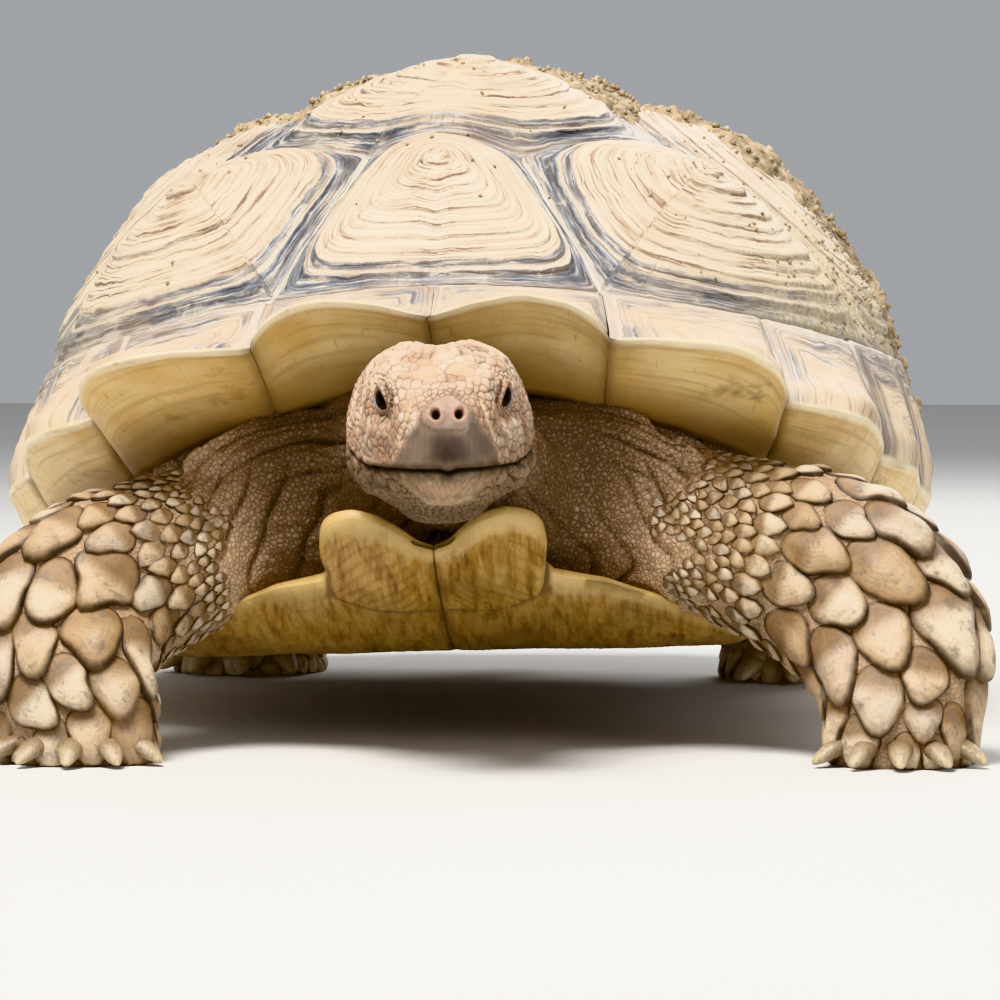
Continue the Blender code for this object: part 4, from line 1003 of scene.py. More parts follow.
def joined_flesh():
    """The flesh's lofts made into one closed surface."""
    lofts = [trunk_sections(), head_sections()]
    lofts.append(limb_sections(list(zip(NECK_PATH, NECK_SIZES)), NECK_RINGS, LIMB_SIDES, 0.0))
    lofts += [limb_sections(table, LIMB_RINGS, LIMB_SIDES, SKIN_DEPTH) for table in LEGS.values()]
    lofts.append(limb_sections(TAIL, TAIL_RINGS, TAIL_RINGS, SKIN_DEPTH))
    points, faces, first = [], [], 0
    for sections in lofts:
        p, f = loft(sections)
        points.append(p)
        faces += [[first + v for v in face] for face in f]
        first += len(p)
    mesh = bpy.data.meshes.new("flesh")
    mesh.from_pydata(np.concatenate(points).tolist(), [], faces)
    form = bpy.data.objects.new("flesh", mesh)
    bpy.context.scene.collection.objects.link(form)
    modifier = form.modifiers.new("whole", "REMESH")
    modifier.mode, modifier.voxel_size, modifier.adaptivity = "VOXEL", VOXEL, 0.0
    graph = bpy.context.evaluated_depsgraph_get()
    whole = form.evaluated_get(graph).to_mesh()
    whole.calc_loop_triangles()
    out = np.empty(len(whole.vertices) * 3, np.float32)
    whole.vertices.foreach_get("co", out)
    tris = np.empty(len(whole.loop_triangles) * 3, np.int32)
    whole.loop_triangles.foreach_get("vertices", tris)
    form.to_mesh_clear()
    bpy.data.objects.remove(form)
    return out.reshape(-1, 3).astype(float), tris.reshape(-1, 3).astype(np.int64)


def tree_of(points, faces):
    """A tree for ray casts and nearest points."""
    faces = faces if isinstance(faces, list) else faces.tolist()
    return BVHTree.FromPolygons(points.tolist(), faces)


def wanted_edge(points):
    """How long the skin's edges may be here: shortest round the eyes and the nose."""
    beside, along, above = to_head(points).T
    on_head = step(along, -0.004, 0.006) * near_head(points)
    size = np.full(len(points), 0.0042)
    near_front = (points[:, 1] < -0.18) & (np.abs(points[:, 0]) < 0.165)
    size = np.where(near_front & (points[:, 2] > 0.080), 0.0016, size)
    size = size + (0.0011 - 0.00035 * step(along, 0.025, 0.035) - size) * on_head
    eye = np.minimum(*(
        np.linalg.norm(np.stack([beside, along, above], 1) - np.array(EYE_PLACE) * [s, 1, 1], axis=1)
        for s in (1, -1)
    ))
    fine = step(eye, 0.017, 0.013)
    nose = np.linalg.norm(np.stack([beside, along - 0.119, above - 0.013], 1), axis=1)
    fine = np.maximum(fine, step(nose, 0.014, 0.010))
    return np.where(on_head > 0.5, size * (1 - 0.45 * fine), size)


def near_head(points):
    """1 round the head, 0 on the legs beside it."""
    beside, _, above = to_head(points).T
    return (np.hypot(beside, above) < 0.075).astype(float)


def on_head_form(points):
    """Brings the head's points onto its smooth form."""
    sections = head_sections(90, 128)
    tree = tree_of(*loft(sections))
    share = step(to_head(points)[:, 1], 0.004, 0.020) * near_head(points)
    moved = points.copy()
    for k in np.nonzero(share > 0)[0]:
        near = tree.find_nearest(Vector(points[k]))[0]
        moved[k] += (np.array(near) - points[k]) * share[k]
    return moved


# ---- sculpting ------------------------------------------------------------------------
def mouth_line(local):
    """Height of the mouth beside the head's axis, and how open it is there."""
    along = local[:, 1]
    line = -0.0136 + 0.0085 * step(along, 0.086, 0.046)
    line -= 0.0012 * step(np.abs(local[:, 0]), 0.005, 0.0) * step(along, 0.10, 0.115)
    return line, step(along, 0.044, 0.056)


GAZE = unit(np.array([0.75, 0.66, -0.02]))
OPENING = (math.radians(34), math.radians(28))  # of the lids, seen from the eye's middle
OPENING_SLANT = math.radians(56)


def eye_frame(side):
    """The eye's gaze, the way across it towards the snout, and the way up."""
    gaze = GAZE * [side, 1, 1]
    across = unit(np.cross(gaze, [0, 0, 1])) * side  # towards the snout
    return gaze, across, np.cross(across, gaze) * side


def shape_eyes(local):
    """Lids: the skin follows the eyeball, opens over it and folds back under the brow."""
    local = local.copy()
    lid, bare = np.zeros(len(local)), np.zeros(len(local))
    for side in (1, -1):
        centre = np.array(EYE_PLACE) * [side, 1, 1]
        off = local - centre
        far = np.linalg.norm(off, axis=1)
        near = np.nonzero(far < 0.022)[0]
        gaze, across, up = eye_frame(side)
        ray = off[near] / far[near, None]
        facing = np.clip(ray @ gaze, -1, 1)
        angle = np.arccos(facing)
        turn = np.arctan2(ray @ up, ray @ across)
        u, v = angle * np.cos(turn), angle * np.sin(turn)
        c, s = math.cos(-OPENING_SLANT), math.sin(-OPENING_SLANT)
        u, v = u * c - v * s, u * s + v * c
        v = v + math.radians(2)
        half = np.where(v > 0, 0.66, 1.06) * OPENING[1]
        oval_share = np.sqrt((u / OPENING[0]) ** 2 + (v / half) ** 2)
        upper = step(v / np.maximum(np.hypot(u, v), 1e-6), -0.35, 0.45)
        rim = (0.0003 + 0.0018 * upper) * hump(oval_share - 1.20 - 0.35 * upper, 0.2 + 0.2 * upper)
        crease = -(0.0004 + 0.0013 * upper) * hump(oval_share - 1.7 - 0.4 * upper, 0.14)
        brow = 0.0036 * upper * hump(oval_share - 2.75, 0.42)
        lids = EYE_RADIUS + 0.0007 + rim + crease + brow
        inside = EYE_RADIUS - 0.0028
        target = inside + (lids - inside) * step(oval_share, 0.93, 1.05)
        close = step(far[near], EYE_RADIUS + 0.010, EYE_RADIUS + 0.005)
        hold = step(angle, math.radians(74), math.radians(44)) * close
        new = far[near] + (target - far[near]) * hold
        new = np.where(oval_share > 1.05, np.maximum(new, EYE_RADIUS + 0.0007), new)
        local[near] = centre + ray * new[:, None]
        outer = step(v / np.maximum(np.hypot(u, v), 1e-6), -0.45, -0.85)
        lid[near] = np.maximum(lid[near], step(oval_share, 1.24, 1.08) * hold * outer)
        bare[near] = np.maximum(bare[near], step(oval_share, 1.5, 1.15) * hold)
    return local, lid, bare


HEAD_SLIMMING = (  # height above the head's axis, and the share of its width kept there
    (-0.043, 0.80), (-0.034, 0.88), (-0.0275, 0.93), (-0.018, 0.975), (-0.008, 0.955), (0.0015, 0.950),
    (0.0246, 0.972), (0.037, 0.92), (0.045, 0.82),
)


SKULL_BUMPS = (  # place beside, along and above the head's axis; radius; stretch; height
    ((0.0300, 0.082, 0.0335), 0.012, (1.0, 1.2, 0.8), 0.0024),  # brow
    ((0.0205, 0.0965, 0.0270), 0.010, (0.8, 1.0, 1.0), 0.0028),  # front of the brow
    ((0.0310, 0.062, 0.0385), 0.014, (0.9, 1.4, 0.9), 0.0014),  # behind the brow
    ((0.0200, 0.052, 0.0450), 0.020, (0.8, 1.3, 1.0), 0.0016),  # side of the crown
    ((0.0190, 0.101, 0.0180), 0.0062, (1.0, 1.0, 1.0), -0.0018),  # hollow before the eye
    ((0.0215, 0.099, 0.0110), 0.0065, (1.0, 1.0, 1.1), -0.0022),  # hollow below it
    ((0.0235, 0.098, 0.0030), 0.0060, (1.0, 1.0, 1.2), -0.0016),  # side of the snout
    ((0.0330, 0.086, 0.0050), 0.011, (1.0, 1.2, 0.9), 0.0020),  # cheekbone
    ((0.0170, 0.110, -0.0040), 0.009, (1.0, 1.0, 1.0), 0.0018),  # upper lip
    ((0.0370, 0.062, -0.0230), 0.014, (1.0, 1.3, 0.8), 0.0020),  # jaw muscle
    ((0.0380, 0.074, -0.0010), 0.016, (1.0, 1.2, 0.8), 0.0018),  # cheek
    ((0.0460, 0.044, -0.0080), 0.020, (1.0, 1.0, 1.0), 0.0014),  # back of the cheek
    ((0.0060, 0.120, 0.0125), 0.0085, (1.0, 1.0, 1.0), 0.0022),  # nose
    ((0.0300, 0.096, 0.0130), 0.013, (1.0, 1.0, 0.9), -0.0030),  # below the brow, in front
    ((0.0175, 0.108, 0.0210), 0.010, (1.0, 1.0, 1.0), -0.0016),  # side of the nose ridge
    ((0.0000, 0.050, 0.0450), 0.020, (0.6, 2.0, 1.0), -0.0016),  # groove along the crown
    ((0.0150, 0.113, 0.0010), 0.012, (1.0, 1.0, 1.2), -0.0010),  # beside the nose pad
    ((0.0455, 0.020, 0.0040), 0.0085, (1.0, 1.0, 1.1), -0.0012),  # ear
    ((0.0360, 0.086, -0.0300), 0.017, (1.0, 1.3, 0.9), -0.0040),  # under the front of the jaw
    ((0.0440, 0.055, 0.0240), 0.021, (1.0, 1.8, 0.9), -0.0034),  # temple
    ((0.0330, 0.072, -0.0370), 0.020, (1.0, 1.8, 0.9), -0.0056),  # under the jaw
)


def sculpt_head(local, normals):
    """Broad forms of the skull. local is beside, along, above; returns the new points."""
    beside, along, above = local.T
    out = np.zeros(len(local))
    folded = np.abs(local) * [1, 0, 0] + local * [0, 1, 1]
    for centre, radius, stretch, height in SKULL_BUMPS:
        far = np.linalg.norm((folded - centre) / stretch, axis=1) / radius
        out += height * step(far, 1, 0)
    line, open_share = mouth_line(local)
    below = line - above
    out += 0.0012 * open_share * hump(below + 0.0028, 0.0022)
    chin = step(below, 0.0, 0.0015) * step(below, 0.016, 0.006) * step(along, 0.07, 0.09)
    out -= 0.0018 * open_share * chin
    out -= 0.0042 * open_share * hump(below, 0.0009)
    out -= 0.0030 * (1 - open_share) * hump(below, 0.0016) * step(along, 0.036, 0.046)
    out += 0.0009 * nose_pad(local) - 0.0011 * muzzle_crease(local)
    for side in (1, -1):
        pit = from_nostril(beside * side, above)
        ahead = step(along, 0.108, 0.113)
        out += ahead * (0.0007 * hump(pit - 0.0033, 0.0012) - 0.0052 * step(pit, 0.0025, 0.0013))
    shaped = local + normals * out[:, None]
    slim = np.interp(shaped[:, 2], *np.array(HEAD_SLIMMING).T)
    shaped[:, 0] *= 1 - (1 - slim) * step(np.abs(shaped[:, 0]), 0.010, 0.028)
    return shaped


def nose_pad(local):
    """1 on the smooth round pad of the nose."""
    beside, along, above = local.T
    loose = 0.0010 * noise(local, 0.006, 54)
    height = above - 0.0128 + loose - 0.0012 * np.cos(beside / 0.0036)
    far = np.hypot(beside / 0.0118, height / 0.0074)
    return step(far, 1.22, 0.82) * step(along, 0.100, 0.106)


def from_nostril(beside, above):
    """Distance from the nostril's middle, seen from ahead."""
    return np.hypot(beside - 0.00545, (above - 0.0130) * 0.85)


def muzzle_crease(local):
    """The crease from the eye's inner corner down the side of the snout."""
    line = np.array([(0.0165, 0.0185), (0.0195, 0.0100), (0.0220, 0.0035), (0.0235, -0.0020)])
    beside, along, above = np.abs(local[:, 0]), local[:, 1], local[:, 2]
    at = np.interp(above, line[::-1, 1], line[::-1, 0])
    there = step(above, 0.0205, 0.0175) * step(above, -0.004, 0.001) * step(along, 0.080, 0.088)
    return there * hump(beside - at, 0.0008)


CROWN_PLATES = (  # the set plates on the top of the head: place, and size
    ((0.0078, 0.0985, 0.0315), 0.0135), ((-0.0078, 0.0985, 0.0315), 0.0135),
    ((0.0, 0.085, 0.0405), 0.012), ((0.0, 0.1085, 0.0245), 0.006),
    ((0.0095, 0.1085, 0.0215), 0.0065), ((-0.0095, 0.1085, 0.0215), 0.0065),
)
SEED_TRIES = 14000  # places tried for the head's plates, and for each leg's scales
MOST_SEEDS = 6000


def plate_sizes(local):
    """How wide the head's plates are here: long down the jaw, small round eye, nose and neck."""
    beside, along, above = local.T
    size = 0.0036 + 0.0010 * noise(local, 0.02, 3)
    size = size + 0.0010 * step(along, 0.03, 0.05) * step(above, 0.024, 0.036)
    size = np.where((above < -0.008) & (along < 0.090) & (along > 0.035), 0.0070, size)
    size = np.where((above < -0.026), 0.0029, size)
    size = np.where((along > 0.112) & (np.abs(beside) < 0.011), 0.0024, size)
    size = np.where(along < 0.015, 0.0030, size)
    eye = np.linalg.norm(np.stack([np.abs(beside), along, above], axis=1) - np.array(EYE_PLACE), axis=1)
    return np.where(eye < 0.0135, 0.0021, size)


def plate_seeds(local, on_head):
    """Places and sizes of the head's plates: the set ones, then as many more as find room."""
    order = np.random.default_rng(5).permutation(np.nonzero(on_head)[0])[:SEED_TRIES]
    size = plate_sizes(local)
    taken = np.zeros((MOST_SEEDS, 4))
    count = len(CROWN_PLATES)
    taken[:count] = [(*place, wide) for place, wide in CROWN_PLATES]
    for k in order:
        place, wide = local[k], size[k]
        gap = (taken[:count, 3] + wide) * 0.5
        if np.all(np.linalg.norm(taken[:count, :3] - place, axis=1) > gap * 0.92):
            taken[count] = [*place, wide]
            count += 1
    return taken[:count, :3], taken[:count, 3]


def plates(points, seeds, sizes):
    """For each point: its plate, and how far it is from that plate's edge."""
    tree = KDTree(len(seeds))
    for k, seed in enumerate(seeds):
        tree.insert(seed, k)
    tree.balance()
    which = np.zeros(len(points), int)
    edge = np.zeros(len(points))
    for k, p in enumerate(points):
        found = sorted((d - 0.45 * sizes[i], i) for _, i, d in tree.find_n(p, 5))
        which[k] = found[0][1]
        edge[k] = (found[1][0] - found[0][0]) / 2
    return which, edge


def limb_frame(points, table, count):
    """Share along the limb, its direction there, and how many of its half widths away it is."""
    path = limb_path(table)
    read, knots = np.linspace(0, 1, count), np.linspace(0, 1, len(path))
    line = smooth(read, knots, path)
    width = smooth(read, knots, np.array([s for _, s in table]).mean(axis=1))
    gap = np.linalg.norm(points[:, None] - line[None], axis=2) / width
    best = gap.argmin(axis=1)
    return read[best], unit(np.gradient(line, axis=0))[best], gap.min(axis=1)


def legs_share(points):
    """1 on the legs below the shoulder or thigh, 0 away from them."""
    legs = np.zeros(len(points))
    for table in LEGS.values():
        down, _, gap = limb_frame(points, table, 60)
        legs = np.maximum(legs, step(gap, 1.45, 1.15) * step(down, 0.14, 0.32))
    return legs


def fold_height(points):
    """Wrinkles of the neck and of the soft skin round the legs."""
    x, y, z = points.T
    warp = 0.010 * noise(points, 0.06, 11) + 0.0035 * noise(points, 0.020, 12)
    arch = np.hypot(x * 0.80, z + 0.03) + 0.30 * y + warp
    down = np.abs(x) + 0.45 * z + 0.3 * y + 2.2 * warp
    low = step(z, 0.165, 0.125)
    strong = np.clip(0.65 + 0.75 * noise(points, 0.045, 14), 0.1, 1.3)
    deep = (1 - np.abs(np.sin(arch * math.pi / 0.0150))) ** 2.5 * (1 - low)
    deep = deep + (1 - np.abs(np.sin(down * math.pi / 0.021))) ** 3 * low
    fine = (1 - np.abs(np.sin((arch + 0.7 * warp) * math.pi / 0.0056))) ** 1.6 * (1 - 0.6 * low)
    sheer = 1 - np.abs(noise(points * [0.45, 1, 1], 0.010, 13))
    return strong * (-0.0062 * deep - 0.0019 * fine) + 0.0022 * (sheer - 0.75)


def refined_flesh():
    """The flesh with small triangles where wanted_edge asks for them, the head smooth."""
    points, tris = joined_flesh()
    points = relax(points, edges_of(tris), 6)
    for _ in range(3):
        a, b, c = (points[tris[:, k]] for k in range(3))
        lengths = [((p - q) ** 2).sum(1) for p, q in ((a, b), (b, c), (c, a))]
        too_long = np.sqrt(np.max(lengths, axis=0)) > 1.45 * wanted_edge((a + b + c) / 3)
        points, tris = refine(points, tris, too_long)
        points = relax(points, edges_of(tris), 3)
    return on_head_form(points), tris


def head_relief(local, which, edge, sizes, bare):
    """Height of the head's plates and beak over the skull, and how deep their grooves look."""
    size = sizes[which]
    _, along, above = local.T
    line, open_share = mouth_line(local)
    groove = hump(edge, 0.00026 + 0.030 * size)
    rough = noise(local, 0.0022, 41) + 0.7 * noise(local, 0.0045, 42)
    jaw = step(above - line, 0.0, -0.002) * step(above, -0.030, -0.024)
    uneven = 0.6 + 0.8 * np.random.default_rng(9).random(len(sizes))[which]
    rise = (0.135 + 0.06 * jaw) * size * step(edge, 0, 0.36 * size) * uneven
    rise *= 1 - 0.5 * step(above, 0.020, 0.034) * step(along, 0.085, 0.095)
    rise += 0.00016 * rough
    plain = 1 - np.maximum(beak_share(local), nose_pad(local))
    lip = step(above - line, 0.008, 0.004) * step(above - line, 0.0, 0.0005)
    cheek = step(above, -0.012, -0.004) * step(above, 0.030, 0.020) * step(along, 0.060, 0.080)
    relief = (rise * (1 - 0.5 * lip) - 0.00040 * groove) * plain * (1 - bare) * (1 - 0.35 * cheek)
    relief *= 1 - 0.8 * step(np.abs(above - line), 0.0022, 0.0) * open_share
    return relief, groove * plain * (1 - bare) * (1 - 0.4 * lip)


def shadowed(tint, points, normals, edges, on_head, creases):
    """The tint darkened in hollows and creases, and lightened on what stands proud."""
    hollow = ((relax(points, edges, 3) - points) * normals).sum(axis=1)
    broad = ((relax(points, edges, 14) - points) * normals).sum(axis=1)
    hollow = np.clip(hollow / (0.00022 + 0.0004 * (1 - on_head)) + 0.5 * broad / 0.0008, -1, 1)
    shade = 1 - (0.62 - 0.18 * on_head) * np.clip(hollow, 0, 1) + 0.10 * np.clip(-hollow, 0, 1)
    tint = tint * shade[:, None] ** np.array([0.9, 1.0, 1.12])
    return tint * (1 - 0.55 * step(-creases, 0.0018, 0.0060))[:, None]


def make_skin():
    """The skin of the whole body in one piece. Returns its points and triangles."""
    points, tris = refined_flesh()
    edges = edges_of(tris)
    local = to_head(points)
    on_head = step(local[:, 1], 0.000, 0.012) * near_head(points)
    local_normals = (vertex_normals(points, tris) @ HEAD[:3, :3]) * [1, -1, 1]
    shaped, lid, bare = shape_eyes(sculpt_head(local, local_normals))
    local = local + (shaped - local) * on_head[:, None]
    points = relax(from_head(local), edges, 1, weight=np.clip(on_head - bare, 0, 1))
    seeds, sizes = plate_seeds(local, on_head > 0.3)
    head = np.nonzero(on_head > 0)[0]
    at = local[head]
    which, edge = plates(at + 0.0007 * noise3(at, 0.0045, 47), seeds, sizes)
    relief, groove = head_relief(at, which, edge, sizes, bare[head])
    normals = vertex_normals(points, tris)
    points[head] += normals[head] * (relief * on_head[head])[:, None]
    legs = legs_share(points)
    soft = (1 - on_head) * (1 - 0.85 * legs) * (0.35 + 0.65 * step(points[:, 1], -0.12, -0.19))
    creases = fold_height(points) * soft
    points += normals * creases[:, None]
    grooves, tone = np.zeros(len(points)), np.full(len(points), 0.5)
    grooves[head] = groove
    tones = np.random.default_rng(8).uniform(0, 1, len(seeds))
    tone[head] = np.where(which < 2, 2.0, tones[which])
    tint = skin_tint(points, local, on_head, lid, bare, grooves, tone, legs)
    tint = shadowed(tint, points, vertex_normals(points, tris), edges, on_head, creases)
    points[points[:, 2] < 0.0016, 2] = 0.0
    made = add_mesh("skin", points, tris, skin_material(), {
        "grain": (1 - on_head) * (1 - 0.5 * legs), "wet": lid, "horn": beak_share(local) * on_head,
    })
    colour = made.data.attributes.new("tint", "FLOAT_COLOR", "POINT")
    opaque = np.concatenate([tint, np.ones((len(tint), 1))], axis=1)
    colour.data.foreach_set("color", opaque.astype(np.float32).ravel())
    settle(made, "skin", "trunk", "neck", "head", "lower_jaw", "tail", *LEGS)
    return points, tris


def beak_share(local):
    """1 on the smooth horn of the beak, 0 on the scaly skin."""
    beside, along, above = np.abs(local[:, 0]), local[:, 1], local[:, 2]
    line, _ = mouth_line(local)
    wave = 0.0012 * noise(local, 0.008, 21)
    brim = 0.0060 + 0.0070 * step(beside, 0.0080, 0.0125) - 0.0290 * step(beside, 0.0120, 0.0290)
    brim = brim + 0.0040 * noise(local, 0.010, 22) + 0.0016 * noise(local, 0.0035, 23)
    upper = step(above - line, -0.0004, 0.0) * step(above - brim, 0.0048, -0.0048)
    depth = 0.0165 - 0.85 * np.clip(beside - 0.009, 0, 1)
    lower = step(line - above, -0.0004, 0.0) * step(line - above + wave - depth, 0.0020, -0.0004)
    return step(along + wave, 0.078, 0.083) * np.maximum(upper, lower)


def over(base, colour, share):
    """A colour laid over base as thickly as share says at each point. base may be one colour."""
    return base + (np.array(colour) - base) * np.clip(share, 0, 1)[:, None]


def body_tint(points, on_head, legs):
    """Painted shade in dark brown round the neck, between it and the shell; pale tan on the shoulders, darker
    legs.
    """
    tint = over(srgb(134, 106, 78), srgb(96, 70, 46), step(noise(points, 0.03, 31), -0.2, 0.6) * 0.7)
    reach = np.hypot(points[:, 0], points[:, 2] - 0.15)
    # painted shade: the neck darkened where it sinks under the shell's front
    tint = over(tint, srgb(92, 66, 42), step(reach, 0.115, 0.075) * (1 - on_head) * 0.75)
    tint = over(tint, srgb(212, 178, 142), step(reach, 0.085, 0.130) * 0.92)
    patches = step(noise(points, 0.012, 32), -0.1, 0.6)
    tint = over(tint, srgb(206, 182, 150), step(reach, 0.10, 0.15) * patches * 0.75)
    tint = over(tint, srgb(104, 78, 52), legs * 0.5)
    return over(tint, srgb(186, 164, 134), step(points[:, 1], -0.19, -0.05) * 0.6)


def plate_tint(local, jaw, tone, bare):
    """The head's plates: tan with warm, dark and pale patches, browner on the jaw; paler on top as painted
    light, darker under the jaw as painted shade, and a dark ring round the eyes that is lid skin and painted
    shade under the brows.
    """
    beside, along, above = np.abs(local[:, 0]), local[:, 1], local[:, 2]
    # painted light: the top of the head paler, as if lit from above
    tint = over(srgb(182, 142, 106), srgb(212, 184, 150), step(above, 0.014, 0.034) * 0.85)
    tint = over(tint, srgb(172, 118, 78), step(noise(local, 0.011, 44), -0.1, 0.6) * 0.7)
    tint = over(tint, srgb(128, 98, 74), step(noise(local, 0.008, 50), 0.15, 0.7) * 0.55)
    pale = step(noise(local, 0.007, 45), 0.1, 0.7) * step(above, -0.012, 0.004)
    tint = over(tint, srgb(232, 208, 178), pale * 0.65)
    tint = over(tint, srgb(112, 84, 60), step(noise(local, 0.0045, 49), 0.1, 0.8) * 0.45)
    tint = over(tint, srgb(136, 106, 70), jaw * 0.8)
    stains = jaw * step(noise(local, 0.009, 51), -0.2, 0.5) * step(beside, 0.016, 0.026)
    tint = over(tint, srgb(84, 64, 38), stains * 0.7)
    # painted shade: darker under the jaw
    tint = over(tint, srgb(104, 80, 48), step(above, -0.024, -0.036))
    tint = over(tint, srgb(120, 92, 66), step(along, 0.060, 0.02) * 0.8)
    tint += (np.minimum(tone - 0.5, 0.5) * 0.30)[:, None] * tint
    tint = over(tint, srgb(206, 164, 116), (tone > 1.5) * 0.55)
    # dark lid skin round each eye, darkened further as painted shade under the brow
    return over(tint, srgb(92, 70, 52), bare * 0.75)


def beak_tint(local, line):
    """Horn of the beak: grey brown above, olive below, dark at the middle and streaked."""
    beside, above = np.abs(local[:, 0]), local[:, 2]
    upper = step(above - line, -0.0006, 0.0004)
    lower = 1 - upper
    tint = over(srgb(166, 130, 88), srgb(122, 100, 80), upper)
    tint = over(tint, srgb(94, 80, 68), upper * step(noise(local, 0.008, 61), -0.3, 0.5) * 0.7)
    wide = 0.0045 + 0.42 * np.clip(0.006 - above, 0, 1) + 0.0030 * noise(local, 0.007, 57)
    middle = upper * step(beside - wide, 0.0070, -0.0045) * step(above, 0.0095, -0.0010)
    tint = over(tint, srgb(62, 50, 42), middle * 0.92)
    tint = over(tint, srgb(104, 88, 54), step(np.abs(above - line), 0.0075, 0.0010) * 0.85)
    tint = over(tint, srgb(110, 90, 58), lower * step(noise(local, 0.005, 58), -0.1, 0.5) * 0.55)
    tint = over(tint, srgb(184, 164, 124), lower * step(noise(local, 0.004, 52), 0.2, 0.7) * 0.4)
    streaks = noise(local * [1, 1, 0.12], 0.0011, 46) + 0.5 * noise(local, 0.0014, 59)
    return tint * (1 + (0.12 + 0.18 * lower) * streaks)[:, None]


def nose_tint(local):
    """The smooth pad of the nose."""
    height = local[:, 2] + 0.004 * noise(local, 0.006, 55)
    tint = over(srgb(166, 136, 114), srgb(136, 114, 98), step(height, 0.0135, 0.0180) * 0.6)
    tint = over(tint, srgb(140, 118, 100), step(noise(local, 0.0035, 53), -0.1, 0.6) * 0.6)
    return tint * (1 + 0.12 * noise(local, 0.0012, 56))[:, None]


def skin_tint(points, local, on_head, lid, bare, grooves, tone, legs):
    """The skin's colours, with painted light on the head's upper half and painted shade in the jaw's grooves,
    the mouth's gap and the nostrils, before hollows and creases darken them.
    """
    beside, along, above = np.abs(local[:, 0]), local[:, 1], local[:, 2]
    line, open_share = mouth_line(local)
    jaw = step(above - line, 0.001, -0.005)
    head = plate_tint(local, jaw, tone, bare)
    head = over(head, beak_tint(local, line), beak_share(local))
    pad = nose_pad(local)
    head = over(head, nose_tint(local), 0.9 * pad)
    head = over(head, srgb(96, 72, 54), hump(pad - 0.4, 0.25) * 0.45)
    head = over(head, srgb(78, 52, 32), grooves * (0.62 + 0.42 * noise(local, 0.010, 43)))
    # dark joints between the jaw's plates, darkened further as painted shade in their grooves
    head = over(head, srgb(48, 34, 22), grooves * jaw * 0.8)
    near_mouth = step(np.abs(above - line), 0.0058, 0.0012) * open_share
    stains = near_mouth * step(noise(local, 0.0035, 60), -0.7, 0.3)
    head = over(head, srgb(72, 56, 40), stains * 0.85)
    head = over(head, srgb(226, 196, 150), muzzle_crease(local) * 0.7)
    dusty = head.mean(axis=1)[:, None] * [1.08, 1.0, 0.90]
    head = head + (dusty - head) * 0.30
    # painted light: the upper half of the head brightened, as if lit from above
    head = head * (1.0 + 0.14 * step(above, -0.006, 0.012))[:, None]
    # painted shade: a near-black line in the mouth's gap
    head = over(head, srgb(20, 15, 10), open_share * hump(above - line, 0.0015))
    head = over(head, srgb(150, 148, 152), lid * 0.65)
    pit = from_nostril(beside, above)
    ahead = step(along, 0.108, 0.113)
    head = over(head, srgb(192, 152, 130), ahead * hump(pit - 0.0031, 0.0010) * 0.6)
    # painted shade: the nostril pits filled near-black
    head = over(head, srgb(18, 10, 8), ahead * step(pit, 0.0024, 0.0014))
    body = body_tint(points, on_head, legs)
    return body + (head - body) * step(on_head, 0.2, 1.0)[:, None]


def skin_material():
    """Skin of small beads with painted highlights on their crowns; the head's horn is smoother and the lids
    are wet.
    """
    s = Shader("tortoise_skin")
    tint = s.node("Attribute", attribute_name="tint").outputs["Color"]
    grain, horn, wet = s.attribute("grain"), s.attribute("horn"), s.attribute("wet")
    cells = s.cells(0.0026, "DISTANCE_TO_EDGE")
    deep = s.mix(0.55, tint, (0.12, 0.07, 0.04))
    colour = s.layer(tint, deep, s.noise(0.006, 5, 0.7), (0.35, 0.0), (0.7, 0.45))
    pale = s.times(s.ramp(s.noise(0.0016, 3, 0.6), (0.5, 0.0), (0.75, 0.22)), s.blend(horn, 1.0, 0.0))
    colour = s.layer(colour, (0.62, 0.52, 0.42), pale)
    crack = s.times(s.ramp(cells, (0.0, 1.0), (0.16, 0.0)), grain)
    colour = s.layer(colour, (0.06, 0.036, 0.021), s.times(crack, 0.62))
    # painted highlight: paler crowns that round each bead of skin
    crown = s.times(s.ramp(cells, (0.08, 0.0), (0.46, 0.42)), grain)
    colour = s.layer(colour, s.mix(0.5, colour, (0.74, 0.60, 0.45)), crown)
    bead = s.times(s.ramp(cells, (0.0, 0.0), (0.50, 1.0)), grain)
    height = s.spread(s.noise(0.0012, 3, 0.6), 0.35, bead)
    rough = s.blend(horn, s.blend(wet, 0.72, 0.32), 0.45)
    return s.finish(colour, rough, s.bump(height, 0.0006), 0.35)


# ---- eyes -----------------------------------------------------------------------------
def eye_material():
    """A dark wet eye: pupil, deep brown iris and a darker rim."""
    s = Shader("eye_wet")
    colour = s.ramp(
        s.attribute("from_middle"), (0.0, (0.004, 0.003, 0.003)), (0.40, (0.005, 0.004, 0.003)),
        (0.44, (0.022, 0.013, 0.008)), (0.72, (0.016, 0.010, 0.007)), (0.80, (0.008, 0.006, 0.006)),
        (1.0, (0.02, 0.016, 0.014)),
    )
    return s.finish(colour, 0.04, specular=0.06)


EYE_ROWS, EYE_COLUMNS = 34, 48


